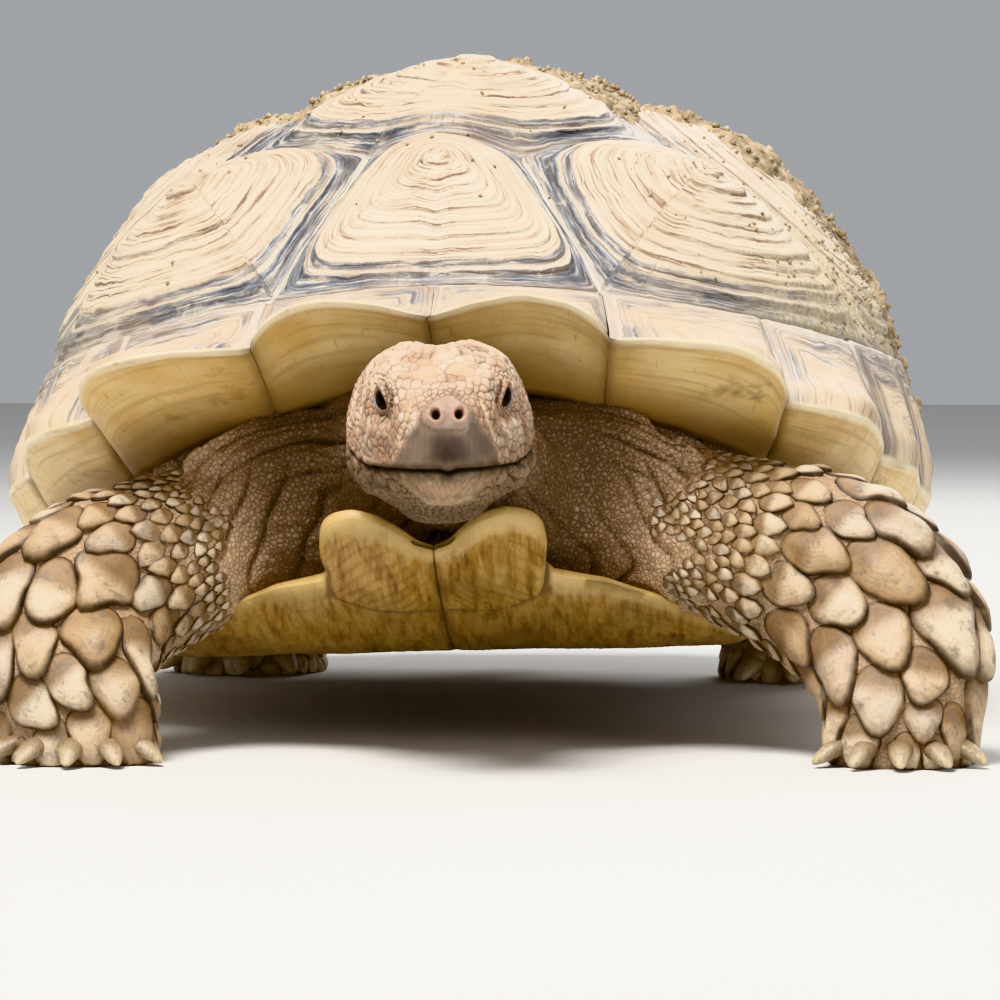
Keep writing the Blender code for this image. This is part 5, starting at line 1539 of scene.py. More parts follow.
def make_eyes():
    """The eyeballs, each with a slightly raised cornea."""
    shader = eye_material()
    tilt = np.linspace(0.02, math.pi - 0.02, EYE_ROWS)[:, None]
    turn = np.linspace(0, 2 * math.pi, EYE_COLUMNS, endpoint=False)[None, :]
    radius = (EYE_RADIUS + 0.0005 * step(tilt, 0.75, 0.0))[..., None]  # the cornea stands proud
    ball = (np.cos(tilt), np.sin(tilt) * np.cos(turn), np.sin(tilt) * np.sin(turn))
    ball = np.stack(np.broadcast_arrays(*ball), axis=-1)
    from_middle = np.clip(tilt / 0.9, 0, 1) + 0 * turn
    faces = grid_faces(EYE_ROWS, EYE_COLUMNS, closed=True).tolist()
    last = (EYE_ROWS - 1) * EYE_COLUMNS
    faces += [list(range(EYE_COLUMNS)), list(range(last, last + EYE_COLUMNS))[::-1]]
    for side, word in ((1, "left"), (-1, "right")):
        points = ball @ np.array(eye_frame(side)) * radius + np.array(EYE_PLACE) * [side, 1, 1]
        points = from_head(points.reshape(-1, 3))
        made = add_mesh(f"eyeball_{word}", points, faces, shader, {"from_middle": from_middle})
        settle(made, "eye", f"eye_{word}")


# ---- scales of the legs and tail ------------------------------------------------------
FORE_SIZES = ((0, 2.6), (0.16, 2.8), (0.22, 3.6), (0.28, 6.0), (0.33, 10.5), (0.38, 17.0), (0.45, 24.0),
              (0.60, 25.0), (0.80, 20.0), (0.93, 12.0), (1.0, 8.0))
HIND_SIZES = ((0, 3.0), (0.25, 4.5), (0.40, 7.5), (0.60, 10.5), (0.85, 14.0), (1.0, 11.0))
TAIL_SIZES = ((0, 3.5), (0.4, 5.5), (1.0, 6.5))  # share down the limb, scale width in mm
STRETCH = 0.36  # how much longer than wide the scales are
SPACING = 0.90  # of two neighbours' mean width, from root to root
BIG, HUGE = 0.011, 0.016  # from these widths on a scale gets a finer mesh
SMALL_MESH, BIG_MESH, HUGE_MESH = (13, 4), (22, 8), (30, 11)  # points round, and out to the edge
LEAST_SCALE = 0.0037


def scatter(points, sizes, ways, seed):
    """Picks points at least a scale apart, the largest scales first."""
    rng = np.random.default_rng(seed)
    order = rng.permutation(len(points))
    order = order[np.argsort(-np.round(sizes[order] / 0.006), kind="stable")]
    taken = np.full((MOST_SEEDS, 3), 99.0)
    wide = np.zeros(MOST_SEEDS)
    picked = []
    for k in order:
        count = len(picked)
        gap = (wide[:count] + sizes[k]) * 0.5 * SPACING
        off = taken[:count] - points[k]
        if count == 0 or ((off**2).sum(1) - STRETCH * (off @ ways[k]) ** 2 > gap**2).all():
            taken[count], wide[count] = points[k], sizes[k]
            picked.append(k)
    return np.array(picked)


def scale_outline(offsets, sizes, size, directions):
    """Distance from a scale's root to its edge in each direction of the tangent plane."""
    reach = np.full(len(directions), 0.74 * size)
    away = np.linalg.norm(offsets, axis=1)
    for off, far, other in zip(offsets, away, sizes):
        share = size / (size + other)
        facing = directions @ (off / far)
        limit = np.where(facing > 0.05, share * far / np.maximum(facing, 0.05), 9.0)
        reach = np.minimum(reach, limit)
    for _ in range(2 if size > 0.01 else 1):
        reach = (np.roll(reach, 1) + 2 * reach + np.roll(reach, -1)) / 4
    return reach * 1.01


def scale_shape(size, around, rings, reach, distal, rng):
    """A horny scale over its outline: offsets beside and along, height, and ring share."""
    share = np.concatenate([np.linspace(0, 0.985, rings) ** 0.85, [1.01, 0.95]])
    turn = np.linspace(0, 2 * math.pi, around, endpoint=False)
    aside = np.abs(np.arctan2(np.sin(turn), distal))
    reach = reach * (1 + 0.34 * hump(aside, 0.42) - 0.09 * hump(aside - 0.95, 0.40))
    beside = share[:, None] * reach * np.sin(turn)
    along = share[:, None] * reach * distal
    lean = step(along / size, -0.55, 0.50)
    crown = (1 - np.clip(share, 0, 1)[:, None] ** 2.6) ** 0.8
    side = rng.uniform(-0.15, 0.15)
    ridge = hump(beside / size - side, 0.30)
    bulk = rng.uniform(0.85, 1.15) * (1 if size > 0.012 else 1.3)
    high = size * bulk * ((0.02 + 0.105 * lean) + crown * (0.045 + lean * (0.055 + 0.065 * ridge)))
    high[-2] -= 0.02 * size
    high[-1] = -0.0012 - 0.04 * size
    ring = np.minimum(share, 1)[:, None] + 0 * beside
    return beside, along, high, ring


def scale_sizes(points, normals, share, size_table, facing, seed):
    """How wide the scales are here: by the table down the limb, small where they face away."""
    at, size = np.array(size_table).T
    sizes = np.interp(share, at, size) / 1000
    if facing is not None:
        front = step(normals @ unit(facing), -0.45, 0.25)
        small = np.minimum(sizes, 0.0055 + 0.0045 * step(share, 0.3, 0.8))
        sizes = small + (sizes - small) * front
    return sizes * (1 + 0.30 * noise(points, 0.022, seed))


def reach_round(root, others, other_sizes, size, along_way, across, turn):
    """How far a scale reaches from its root in each turn, up to its neighbours."""
    narrow = math.sqrt(1 - STRETCH)  # lengths along the limb count this much less
    off = others - root
    off = off - np.outer(off @ along_way, along_way) * (1 - narrow)
    flat = np.stack([off @ across, off @ along_way], axis=1)
    flat *= (np.linalg.norm(off, axis=1) / np.maximum(np.linalg.norm(flat, axis=1), 1e-6))[:, None]
    directions = np.stack([np.sin(turn), np.cos(turn)], axis=1)
    reach = scale_outline(flat, other_sizes, size, directions)
    drawn = np.arctan2(np.sin(turn), np.cos(turn) * narrow) % (2 * math.pi)
    reach = np.interp(drawn, turn, reach, period=2 * math.pi)
    return reach / np.sqrt(np.sin(turn) ** 2 + np.cos(turn) ** 2 * (1 - STRETCH))


def laid_on(skin_tree, base, root, out):
    """The points of base brought down onto the skin, or a little below where there's none."""
    ground, down = np.empty_like(base), Vector(-out)
    for place in np.ndindex(base.shape[:-1]):
        p = base[place]
        hit = skin_tree.ray_cast(Vector(p + out * 0.014), down, 0.034)[0]
        if hit is None:
            hit = p - out * min(0.012, 0.5 * ((p - root) @ (p - root)) / 0.04)
        ground[place] = hit
    return ground


def make_scales(name, table, skin_tree, candidates, normals, size_table, facing, shader, seed):
    """One leg's scales as a single piece."""
    share, ways, gap = limb_frame(candidates, table, 80)
    sizes = scale_sizes(candidates, normals, share, size_table, facing, seed)
    keep = (gap < 1.35) & (sizes > LEAST_SCALE) & (candidates[:, 2] > 0.0045)
    candidates, normals, ways, sizes, share = (v[keep] for v in (candidates, normals, ways, sizes, share))
    picked = scatter(candidates, sizes, ways, seed)
    roots, outs, ways, sizes, share = (v[picked] for v in (candidates, normals, ways, sizes, share))
    tree = KDTree(len(roots))
    for k, root in enumerate(roots):
        tree.insert(root, k)
    tree.balance()
    rng = np.random.default_rng(seed)
    middle = roots.mean(axis=0)
    points, faces, rings, tones, tips, uvs = [], [], [], [], [], []
    first = 0
    for k, (root, out, way, size) in enumerate(zip(roots, outs, ways, sizes)):
        around, rows = HUGE_MESH if size > HUGE else BIG_MESH if size > BIG else SMALL_MESH
        along_way = unit(way - out * (way @ out) + 0.12 * rng.normal(size=3) * (1 if size > BIG else 2))
        along_way = unit(along_way - out * (along_way @ out))
        across = np.cross(along_way, out)
        turn = np.linspace(0, 2 * math.pi, around, endpoint=False)
        near = [i for _, i, d in tree.find_n(root, 14) if i != k and d < 2.6 * max(size, 0.006)]
        near = np.array(near, int)
        reach = reach_round(root, roots[near], sizes[near], size, along_way, across, turn)
        beside, along, high, ring = scale_shape(size, around, rows, reach, np.cos(turn), rng)
        base = root + beside[..., None] * across + along[..., None] * along_way
        rough = 0.00035 * noise(base, 0.006, seed + 3) + 0.0008 * noise(base, 0.014, seed + 4) * (size > 0.01)
        high = high + rough * (ring < 1) + 0.06 * size * step(along / size, 0.30, 0.85)
        shape = laid_on(skin_tree, base, root, out) + out * high[..., None]
        shape[..., 2] = np.maximum(shape[..., 2], 0.0006)
        points.append(shape.reshape(-1, 3))
        faces.append(grid_faces(len(beside), around, closed=True)[:, ::-1] + first)
        first += beside.size
        rings.append(ring.ravel())
        tones.append(np.full(beside.size, rng.uniform(0, 1)))
        tips.append(step(along / size, -0.45, 0.45).ravel())
        angle = math.atan2(root[1] - middle[1], root[0] - middle[0]) / (2 * math.pi) + 0.5
        patch = np.stack([beside, along], axis=-1).reshape(-1, 2) / size * 0.0030
        uvs.append(0.02 + 0.96 * np.array([angle, share[k]]) + patch)
    values = {"ring": np.concatenate(rings), "tone": np.concatenate(tones), "tip": np.concatenate(tips)}
    points, faces, uvs = np.concatenate(points), np.concatenate(faces), np.concatenate(uvs)
    settle(add_mesh(name + "_scales", points, faces, shader, values, uvs), "skin")


def scale_material():
    """Horny scales: cream crowns, brown roots and creases, faint growth lines."""
    s = Shader("leg_scale_horn")
    ring, tone, tip = s.attribute("ring"), s.attribute("tone"), s.attribute("tip")
    broad = s.noise(0.02, 4, 0.6)
    crown = s.ramp(tone, (0.0, srgb(158, 132, 100)), (0.35, srgb(186, 164, 134)),
                   (0.7, srgb(210, 194, 168)), (1.0, srgb(170, 154, 136)))
    colour = s.layer(crown, srgb(116, 88, 58), tip, (0.10, 0.9), (0.65, 0.0))
    worn = s.maths("ADD", ring, s.spread(s.noise(0.007, 4, 0.65), 0.40, -0.20))
    colour = s.layer(colour, srgb(132, 100, 62), worn, (0.66, 0.0), (0.90, 0.55))
    colour = s.layer(colour, srgb(56, 40, 26), ring, (0.86, 0.0), (0.98, 0.95))
    colour = s.layer(colour, srgb(158, 130, 92), broad, (0.48, 0.0), (0.68, 0.6))
    patches, specks = s.noise(0.009, 5, 0.7, offset=2.0), s.noise(0.0016, 4, 0.7, offset=8.0)
    colour = s.layer(colour, srgb(104, 92, 80), patches, (0.52, 0.0), (0.66, 0.7))
    colour = s.layer(colour, srgb(92, 70, 46), specks, (0.57, 0.0), (0.72, 0.6))
    lines = s.maths("SINE", s.spread(ring, 34.0, s.times(broad, 16.0)))
    colour = s.layer(colour, srgb(96, 74, 52), s.times(s.ramp(lines, (0.3, 0.0), (1.0, 1.0)), 0.11))
    height = s.spread(s.noise(0.0025, 4, 0.6), 1.8, s.times(lines, 0.10))
    return s.finish(colour, s.ramp(broad, (0.3, 0.45), (0.7, 0.68)), s.bump(height, 0.00025), 0.4)


def near_limb(points, table, below, above):
    """The points in the limb's box, widened by below and above."""
    path = limb_path(table)
    low, high = path.min(axis=0) - below, path.max(axis=0) + above
    return np.nonzero(((points > low) & (points < high)).all(axis=1))[0]


def add_all_scales(points, tris):
    """The scales of the legs and the tail. points and tris are the skin's."""
    shader = scale_material()
    normals = vertex_normals(points, tris)
    tree = tree_of(points, tris)
    rng = np.random.default_rng(44)
    for number, (name, table) in enumerate(LEGS.items()):
        fore, side = name.startswith("fore"), 1 if name.endswith("left") else -1
        near = rng.permutation(near_limb(points, table, 0.07, 0.07))[:SEED_TRIES]
        facing = (side * 0.45, -0.85, 0.30) if fore else (side * 0.5, -0.5, 0.0)
        sizes = FORE_SIZES if fore else HIND_SIZES
        make_scales(name, table, tree, points[near], normals[near], sizes, facing, shader, 60 + number)
    near = near_limb(points, TAIL, 0.03, 0.02)
    make_scales("tail", TAIL, tree, points[near], normals[near], TAIL_SIZES, None, shader, 70)


# ---- claws and spurs ------------------------------------------------------------------
FORE_CLAWS, HIND_CLAWS = 5, 4
FORE_CLAW, HIND_CLAW, THIGH_SPUR = (0.026, 0.0075), (0.024, 0.0085), (0.026, 0.0085)  # length, half width
CONE_SIDES = 28


def horn_cone(base, tip, half_width, curve):
    """A blunt flattened cone, bent downwards by curve. Returns points and its ring share."""
    base, tip = np.array(base, float), np.array(tip, float)
    axis = unit(tip - base)
    broad = unit(np.cross(axis, (0, 0, 1)))
    up = np.cross(broad, axis)
    share = np.concatenate([np.linspace(0, 0.9, 16), [0.94, 0.97, 0.99, 1.0]])
    wide = half_width * 0.95 * (1 - share**2.2) ** 0.55
    wide[-1] = half_width * 0.02
    turn = np.linspace(0, 2 * math.pi, CONE_SIDES, endpoint=False)
    rows = []
    for s, w in zip(share, wide):
        middle = base + (tip - base) * s + up * curve * math.sin(math.pi * s)
        rows.append(middle + np.outer(np.cos(turn) * w, broad) + np.outer(np.sin(turn) * w * 0.74, up))
    rows = np.array(rows)
    rows += 0.00025 * noise(rows, 0.004, 90)[..., None] * unit(rows - rows.mean(axis=1, keepdims=True))
    rows[..., 2] = np.maximum(rows[..., 2], 0.0002)
    return rows, share


def claw_material():
    """Claws and spurs: brown at the root, paler at the tip, streaked along."""
    s = Shader("claw_horn")
    at = s.maths("ADD", s.attribute("length"), s.spread(s.noise(0.008, 4), 0.4, -0.2))
    colour = s.ramp(at, (0.0, srgb(88, 70, 52)), (0.45, srgb(128, 106, 80)), (1.0, srgb(186, 168, 136)))
    streak = s.noise(0.0012, 3, 0.6, stretch=(1, 1, 0.2))
    colour = s.layer(colour, srgb(70, 54, 40), streak, (0.45, 0.0), (0.7, 0.5))
    return s.finish(colour, 0.42, s.bump(streak, 0.0003), 0.45)


def add_cones(name, cones, shader):
    """Horn cones of one leg as a single piece, each closed at its tip."""
    points, faces, lengths, first = [], [], [], 0
    for cone in cones:
        rows, share = horn_cone(*cone)
        count = len(rows) * CONE_SIDES
        points.append(rows.reshape(-1, 3))
        quads = grid_faces(len(rows), CONE_SIDES, closed=True)[:, ::-1]
        end = np.arange(count - CONE_SIDES, count)
        faces += (quads + first).tolist() + [(end + first).tolist()]
        lengths.append(np.repeat(share, CONE_SIDES))
        first += count
    made = add_mesh(name, np.concatenate(points), faces, shader, {"length": np.concatenate(lengths)})
    settle(made, "skin")


def claw_cones(table, fore, side):
    """The foot's claws as base, tip, half width and bend, fanned round the sole's front."""
    count = FORE_CLAWS if fore else HIND_CLAWS
    length, half_width = FORE_CLAW if fore else HIND_CLAW
    spread, toe_in = (110, 0) if fore else (95, side * 15)
    foot, (wide, deep) = np.array(table[-1][0]), table[-1][1]
    for k in range(count):
        turn = math.radians(spread * (k / (count - 1) - 0.5) + toe_in)
        ahead = np.array([math.sin(turn), -math.cos(turn), 0.0])
        edge = foot + ahead * [wide, deep, 0]
        base = edge - ahead * 0.012 + [0, 0, half_width * 1.5]
        tip = edge + ahead * (length - 0.0105) + [0, 0, half_width * 0.34]
        yield base, tip, half_width, 0.0022


def spur_cones(table, side):
    """The two horny spurs on the back of a thigh."""
    knee = np.array(table[2][0])
    for inward, height in ((0.004, 0.090), (0.014, 0.068)):
        base = np.array([knee[0] - side * (0.012 + inward), knee[1] + 0.036, height])
        tip = base + np.array([-side * 0.15, 0.85, -0.5]) * THIGH_SPUR[0]
        yield base - (tip - base) * 0.2, tip, THIGH_SPUR[1], 0.001


def make_claws():
    """The claws of all four feet, and the spurs on the thighs."""
    shader = claw_material()
    for name, table in LEGS.items():
        fore, side = name.startswith("fore"), 1 if name.endswith("left") else -1
        add_cones(name + "_claws", claw_cones(table, fore, side), shader)
        if not fore:
            add_cones(name + "_spurs", spur_cones(table, side), shader)


# ---- plastron -------------------------------------------------------------------------
PLASTRON_SCUTES = {  # front edge and rear edge, from the mid-line outward
    "gular": (
        ((0, -0.316), (0.008, -0.322), (0.016, -0.332), (0.025, -0.3395), (0.034, -0.342), (0.043, -0.3405),
         (0.050, -0.336), (0.055, -0.328), (0.057, -0.318)),
        ((0, -0.268), (0.008, -0.270), (0.015, -0.272), (0.022, -0.274), (0.030, -0.276), (0.036, -0.280),
         (0.042, -0.286), (0.049, -0.2915), (0.054, -0.296)),
    ),
    "humeral": (
        ((0, -0.268), (0.030, -0.276), (0.054, -0.296), (0.084, -0.284), (0.112, -0.264),
         (0.138, -0.240), (0.155, -0.208)),
        ((0, -0.160), (0.030, -0.1636), (0.054, -0.1664), (0.084, -0.1700), (0.112, -0.1733),
         (0.138, -0.1764), (0.152, -0.178)),
    ),
    "pectoral": (
        ((0, -0.160), (0.080, -0.1695), (0.152, -0.178), (0.182, -0.158), (0.212, -0.136)),
        ((0, -0.115), (0.080, -0.109), (0.152, -0.1035), (0.182, -0.101), (0.212, -0.099)),
    ),
    "abdominal": (
        ((0, -0.115), (0.080, -0.109), (0.152, -0.1035), (0.182, -0.101), (0.212, -0.099)),
        ((0, 0.105), (0.080, 0.119), (0.150, 0.131), (0.178, 0.138), (0.200, 0.143)),
    ),
    "femoral": (
        ((0, 0.105), (0.080, 0.119), (0.150, 0.131)),
        ((0, 0.192), (0.068, 0.203), (0.124, 0.212)),
    ),
    "anal": (
        ((0, 0.192), (0.040, 0.1985), (0.080, 0.205), (0.122, 0.2117)),
        ((0, 0.236), (0.032, 0.258), (0.062, 0.260), (0.102, 0.238)),
    ),
}
BRIDGE_SCUTES = ("pectoral", "abdominal")
PLASTRON_ACROSS, PLASTRON_ALONG = 54, 44


def gular_height(x, y):
    """How far the gulars' top turns up, and how far they stand proud below."""
    rise = 0.006 * np.clip((np.abs(x) - 0.008) / 0.03, 0, 1) * np.clip((-0.30 - y) / 0.03, 0, 1)
    bulge = 0.0065 * (0.15 + 0.85 * step(np.abs(x), 0.0, 0.022)) * step(y, -0.250, -0.296)
    return rise, bulge * step(np.abs(x), 0.100, 0.056)


def straight(x, xs, ys):
    """Straight lines through the points (xs, ys), read at x."""
    return np.stack([np.interp(x, xs, column) for column in ys.T], axis=1)


def free_edge(name, x, u, v, length):
    """1 where a plate meets its neighbours, falling to 0 towards the plastron's free edges."""
    if name == "gular":
        near = np.minimum(v * 6.5, (1 - u) * 7)
    elif name == "humeral":
        near = np.minimum(v * length / 0.010 + 2 * step(x, 0.058, 0.050), (1 - u) * 6)
    elif name == "anal":
        near = np.minimum((1 - v) * 4, (1 - u) * 4)
    else:
        near = (1 - u) * 6 if name == "femoral" else 1 + 0 * u
    return np.clip(near, 0, 1)


def plastron_plan(name, front, rear):
    """A plate's plan in metres, rows from front to rear and columns from the middle outward."""
    front, rear = np.array(front, float), np.array(rear, float)
    read = np.linspace(0, len(front) - 1, PLASTRON_ACROSS)
    bend = smooth if name == "gular" else straight
    front, rear = (bend(read, np.arange(len(line)), line) for line in (front, rear))
    front[:, 1] += 0.0003
    rear[:, 1] -= 0.0003
    t = np.linspace(0, 1, PLASTRON_ALONG)[:, None, None]
    plan = front[None] * (1 - t) + rear[None] * t
    u = np.linspace(0, 1, PLASTRON_ACROSS)[None, :] + 0 * t[..., 0]
    if name in BRIDGE_SCUTES:
        plan[..., 0] += (lip_reach(plan[..., 1]) - 0.001 - plan[..., 0]) * step(u, 0.8, 1.0)
    plan[..., 0] = np.maximum(plan[..., 0], 0.0002)
    return plan[..., 0], plan[..., 1], u, t[..., 0] + 0 * u, (rear - front)[:, 1]


def make_plastron_scute(name, front, rear, sign, shader, seed):
    """One plate of the plastron: underside and top in one closed sheet, rounded at free edges."""
    x, y, u, v, length = plastron_plan(name, front, rear)
    rise, bulge = gular_height(x, y) if name in ("gular", "humeral") else (0, 0)
    rise = rise if name == "gular" else rise * step(np.abs(x), 0.075, 0.055)
    top = plastron_under(x, y) + PLATE + rise
    under = top - PLATE - bulge
    edge = free_edge(name, x, u, v, length)
    rounding = 1 - np.sqrt(np.clip(1 - (1 - edge) ** 2.4, 0, 1))
    middle = top * 0.55 + under * 0.45
    seam = np.minimum(np.minimum(u * x.max(), (1 - u) * 0.15), np.minimum(v, 1 - v) * 0.11)
    place = np.stack([x * sign, y, 0 * x], axis=-1)
    waves = (x * 0.6 + np.abs(y) * 0.8) * 2 * math.pi / 0.0065
    lines = 0.00035 * np.sin(waves + 3 * noise(place, 0.02, seed))
    worn = 0.0010 * noise(place, 0.03, seed + 2) + 0.0004 * noise(place, 0.008, seed + 3)
    if name == "gular":
        lines = lines * 1.4 + 0.0005 * noise(place * [3.0, 0.6, 1], 0.01, seed + 5)
    low = under + 0.0005 * step(seam, 0.0014, 0.0) + (lines + worn) * step(seam, 0.0, 0.008)
    low = low + (middle - low) * rounding
    high = top + (middle - top) * rounding + 0.4 * worn
    points = leaned(np.stack([both(x, x) * sign, both(y, y), both(low, high)], axis=-1))
    faces = closed_sheet(*points.shape[:2])
    if sign > 0:
        faces = [face[::-1] for face in faces]
    values = {"seam": both(seam, seam), "edge": both(edge, edge)}
    uvs = np.stack([both(u, u), both(v * 0.48, v * 0.48 + 0.5)], axis=-1).reshape(-1, 2) * 0.96 + 0.02
    word = "left" if sign > 0 else "right"
    made = add_mesh(f"{name}_{word}_horn", points.reshape(-1, 3), faces, shader, values, uvs)
    settle(made, "plastron", f"{name}_{word}")


def both(below, above):
    """Columns that go out below and come back above."""
    return np.concatenate([below, above[:, ::-1]], axis=1)


def closed_sheet(rows, columns):
    """Faces of a flattened tube whose columns go out below and come back above."""
    faces = grid_faces(rows, columns, closed=True).tolist()
    for row, flip in ((0, True), (rows - 1, False)):
        start = row * columns
        for k in range(columns // 2 - 1):
            quad = [start + k, start + k + 1, start + columns - 2 - k, start + columns - 1 - k]
            faces.append(quad[::-1] if flip else quad)
    return faces


def plastron_material():
    """Worn horn, brown and olive, with wood-like streaks, dark seams and a painted highlight along the free
    edges.
    """
    s = Shader("plastron_horn")
    seam, edge = s.attribute("seam"), s.attribute("edge")
    grain = s.noise(0.010, 5, 0.65, stretch=(2.6, 0.40, 0.28))
    broad = s.noise(0.05, 4, 0.6)
    colour = s.ramp(grain, (0.30, srgb(92, 62, 24)), (0.46, srgb(146, 108, 50)),
                    (0.60, srgb(176, 142, 84)), (0.76, srgb(132, 100, 50)))
    colour = s.layer(colour, srgb(98, 74, 38), broad, (0.46, 0.0), (0.70, 0.65))
    pale = s.noise(0.03, 4, 0.6, offset=4.0, stretch=(1.6, 0.5, 0.4))
    colour = s.layer(colour, srgb(186, 160, 104), pale, (0.50, 0.0), (0.72, 0.5))
    colour = s.layer(colour, srgb(62, 44, 22), seam, (0.0, 0.6), (0.0026, 0.0))
    # painted highlight: paler along the plates' rounded free edges
    edge_highlight = s.maths("ADD", edge, s.spread(s.noise(0.012, 4, 0.6, offset=2.0), 0.5, -0.25))
    colour = s.layer(colour, srgb(204, 174, 116), edge_highlight, (0.05, 0.85), (0.45, 0.0))
    height = s.spread(grain, 1.2, s.noise(0.002, 3, 0.6))
    rough = s.ramp(broad, (0.3, 0.34), (0.7, 0.55))
    return s.finish(colour, rough, s.bump(height, 0.0003), 0.45)


def make_plastron():
    """The six pairs of plates under the body."""
    shader = plastron_material()
    for seed, (name, (front, rear)) in enumerate(PLASTRON_SCUTES.items()):
        for sign in (1, -1):
            make_plastron_scute(name, front, rear, sign, shader, 400 + seed)


# ---- dried mud ------------------------------------------------------------------------
def mud_cover(at):
    """How thickly dried mud lies on the dome at these places of the disc, 0 to 1."""
    x, y = at[..., 0], at[..., 1]
    place = np.stack([x, y, 0 * x], axis=-1)
    ragged = 0.42 * noise(place, 0.11, 71) + 0.30 * noise(place, 0.040, 72) + 0.16 * noise(place, 0.014, 78)
    left = 1.0 - np.hypot((x - 0.47) / 0.40, (y - 0.02 - 0.15 * (x - 0.5)) / 0.20)
    crest = 0.8 - np.hypot((x - 0.21) / 0.10, (y + 0.18) / 0.09)
    right = 0.8 - np.hypot((x + 0.30) / 0.24, (y + 0.02) / 0.15)
    return step(np.maximum(np.maximum(left, crest), right) + ragged, 0.05, 0.34)


def mud_material():
    """Dry sandy mud, quite matt, with painted shade in dark brown spots."""
    s = Shader("dried_mud")
    colour = s.ramp(s.noise(0.006, 5, 0.7), (0.3, srgb(126, 108, 84)), (0.5, srgb(164, 146, 118)),
                    (0.72, srgb(198, 184, 160)))
    # painted shade: dark brown spots that stand for shaded gaps in the mud
    colour = s.layer(colour, srgb(112, 92, 70), s.cells(0.0035), (0.0, 0.6), (0.5, 0.0))
    return s.finish(colour, 0.95, s.bump(s.noise(0.0016, 4, 0.7), 0.0009), 0.2)


MUD_GRID = (330, 190)  # points of the crust across and along
CRUMB_TRIES, MOST_CRUMBS = 15000, 2300


def tree_of_pieces(horns):
    """Pieces already made, as a tree for ray casts in the form's frame."""
    points, faces, first = [], [], 0
    for horn in horns:
        co = np.empty(len(horn.data.vertices) * 3, np.float32)
        horn.data.vertices.foreach_get("co", co)
        quad = np.empty(len(horn.data.loops), np.int32)
        horn.data.loops.foreach_get("vertex_index", quad)
        points.append(co.reshape(-1, 3) - SHIFT)
        faces.append(quad.reshape(-1, 4) + first)
        first += len(horn.data.vertices)
    return tree_of(np.concatenate(points), np.concatenate(faces))


def on_shell(tree, at):
    """The places of the disc on the leaning dome, its normals, and the horn below or None."""
    ground, normals = leaned(dome(at)), unit(leaned(dome_normals(at)) - leaned(np.zeros(3)))
    hits = [
        tree.ray_cast(Vector(p + n * 0.04), Vector(-n), 0.07)[0]
        for p, n in zip(ground.reshape(-1, 3), normals.reshape(-1, 3))
    ]
    return ground, normals, hits


def make_crust(tree, shader):
    """The crust, which follows the terraces it lies on and sinks into them at its edge."""
    x, y = (np.linspace(*span, n) for span, n in zip(((-0.60, 0.95), (-0.36, 0.28)), MUD_GRID))
    at = np.stack(np.meshgrid(x, y, indexing="ij"), axis=-1)
    cover = mud_cover(at)
    ground, normals, hits = on_shell(tree, at)
    on = np.array([p if hit is None else hit for p, hit in zip(ground.reshape(-1, 3), hits)])
    lumps = 0.5 + 0.7 * noise(ground, 0.008, 73) + 0.35 * noise(ground, 0.0035, 74)
    lumps = lumps + 0.5 * noise(ground, 0.02, 75)
    high = cover * (0.0010 + 0.0036 * np.clip(lumps, 0, 1.6)) - 0.0022 * step(cover, 0.40, 0.08)
    crust = on + normals.reshape(-1, 3) * high.reshape(-1, 1)
    quads = grid_faces(*MUD_GRID)
    quads = quads[cover.ravel()[quads].max(axis=1) > 0.02]
    used, where = np.unique(quads, return_inverse=True)
    settle(add_mesh("mud_crust", crust[used], where.reshape(-1, 4)[:, ::-1], shader), "scute")


def make_crumbs(tree, shader):
    """Crumbs, thickest on the crust and fewer round it."""
    rng = np.random.default_rng(77)
    spans = ((-0.62, 0.98), (-0.66, 0.30))
    at = np.stack([rng.uniform(*span, CRUMB_TRIES) for span in spans], axis=1)
    at = at[np.hypot(*at.T) < 0.79]
    cover = mud_cover(at)
    side = step(at[:, 0], 0.25, 0.60) * step(at[:, 1], -0.62, -0.30) * 0.22
    apron = mud_cover(at + [0.02, -0.035]) + mud_cover(at + [-0.02, 0.03])
    likely = np.maximum(np.maximum(0.34 * cover, 0.16 * apron), np.maximum(side, 0.012))
    keep = rng.random(len(at)) < likely
    at, cover = at[keep][:MOST_CRUMBS], cover[keep][:MOST_CRUMBS]
    ball, ball_faces = crumb_form()
    points, faces, first = [], [], 0
    for normal, hit, near in zip(*on_shell(tree, at)[1:], cover):
        if hit is None:
            continue
        size = rng.uniform(0.0006, 0.0013) * (1 + 1.1 * near * rng.random())
        shape = ball * (1 + 0.35 * rng.normal(size=(len(ball), 1)).clip(-1, 1)) * size
        points.append(shape + np.array(hit) + normal * (size * 0.4 + 0.0030 * near))
        faces.append(ball_faces + first)
        first += len(ball)
    settle(add_mesh("mud_crumbs", np.concatenate(points), np.concatenate(faces), shader), "scute")


def make_mud(horns):
    """A crust of mud on the left of the shell and its crest, with crumbs on and round it."""
    shader, tree = mud_material(), tree_of_pieces(horns)
    make_crust(tree, shader)
    make_crumbs(tree, shader)


def crumb_form():
    """A ball of few faces."""
    work = bmesh.new()
    bmesh.ops.create_icosphere(work, subdivisions=1, radius=1.0)
    points = np.array([v.co for v in work.verts])
    faces = np.array([[v.index for v in f.verts] for f in work.faces])
    work.free()
    return points, faces


# ---- camera, light, floor -------------------------------------------------------------
FLOOR_SIDE = 6.0


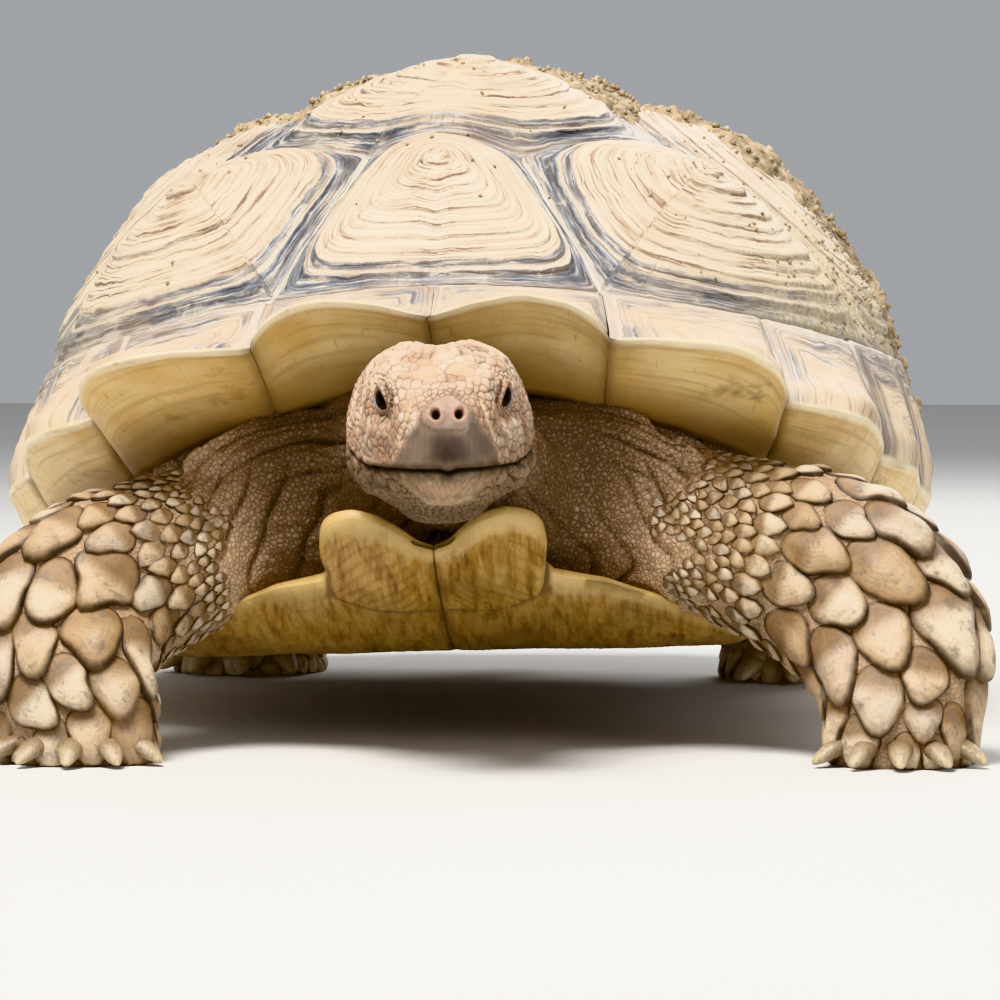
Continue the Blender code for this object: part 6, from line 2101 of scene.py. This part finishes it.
def make_floor():
    """A plain floor, which is no part of the animal."""
    mesh = bpy.data.meshes.new("floor")
    corners = [(x * FLOOR_SIDE, y * FLOOR_SIDE, 0) for x, y in ((-1, -1), (1, -1), (1, 1), (-1, 1))]
    mesh.from_pydata(corners, [], [(0, 1, 2, 3)])
    s = Shader("floor_paint")
    colour = s.mix(s.noise(0.4, 2), (0.60, 0.59, 0.57), (0.64, 0.63, 0.61))
    mesh.materials.append(s.finish(colour, 0.85))
    floor = bpy.data.objects.new("floor", mesh)
    bpy.context.scene.collection.objects.link(floor)


LAMPS = {  # place, target, width, power in watts, colour
    "key": ((-0.5, -1.2, 2.5), (0, -0.1, 0.15), 1.4, 138, (1.0, 0.98, 0.95)),
    "fill": ((2.2, -2.2, 0.9), (0, 0, 0.15), 1.8, 20, (0.95, 0.97, 1.0)),
    "back": ((0.8, 2.2, 1.9), (0, 0, 0.2), 1.6, 48, (1.0, 1.0, 1.0)),
}
SKY_COLOUR, SKY_STRENGTH = (0.93, 0.96, 1.0, 1), 0.42
LENS, SENSOR = 181.9, 36.0  # millimetres
CAMERA_TURN, CAMERA_DIP = math.radians(4.0), math.radians(2.7194)
CAMERA_AWAY, CAMERA_ASIDE, CAMERA_HEIGHT = 2.83, 0.011, 0.25  # from the shell's middle


def add_area(name, place, target, size, power, colour):
    """A round lamp that faces its target."""
    lamp = bpy.data.lights.new(name, "AREA")
    lamp.shape, lamp.size, lamp.energy, lamp.color = "DISK", size, power, colour
    made = bpy.data.objects.new(name, lamp)
    made.location = place
    made.rotation_euler = (Vector(target) - Vector(place)).to_track_quat("-Z", "Y").to_euler()
    bpy.context.scene.collection.objects.link(made)


def make_lights():
    for name, lamp in LAMPS.items():
        add_area(name, *lamp)
    world = bpy.data.worlds.new("studio")
    bpy.context.scene.world = world
    world.use_nodes = True
    sky = world.node_tree.nodes["Background"].inputs
    sky[0].default_value, sky[1].default_value = SKY_COLOUR, SKY_STRENGTH
    bpy.context.scene.view_settings.view_transform = "Khronos PBR Neutral"


def make_camera():
    """A long lens low in front, a little to the animal's left."""
    camera = bpy.data.cameras.new("camera")
    camera.sensor_width, camera.lens, camera.clip_end = SENSOR, LENS, 50
    made = bpy.data.objects.new("camera", camera)
    place = Matrix.Rotation(CAMERA_TURN, 3, "Z") @ Vector((CAMERA_ASIDE, -CAMERA_AWAY, CAMERA_HEIGHT))
    made.location = place + Vector(SHIFT)
    made.rotation_euler = (math.pi / 2 - CAMERA_DIP, 0, CAMERA_TURN)
    bpy.context.scene.collection.objects.link(made)
    bpy.context.scene.camera = made


make_floor()
make_lights()
make_camera()
make_mud(make_carapace())
make_rim()
make_plastron()
SKIN = make_skin()
make_eyes()
add_all_scales(*SKIN)
make_claws()
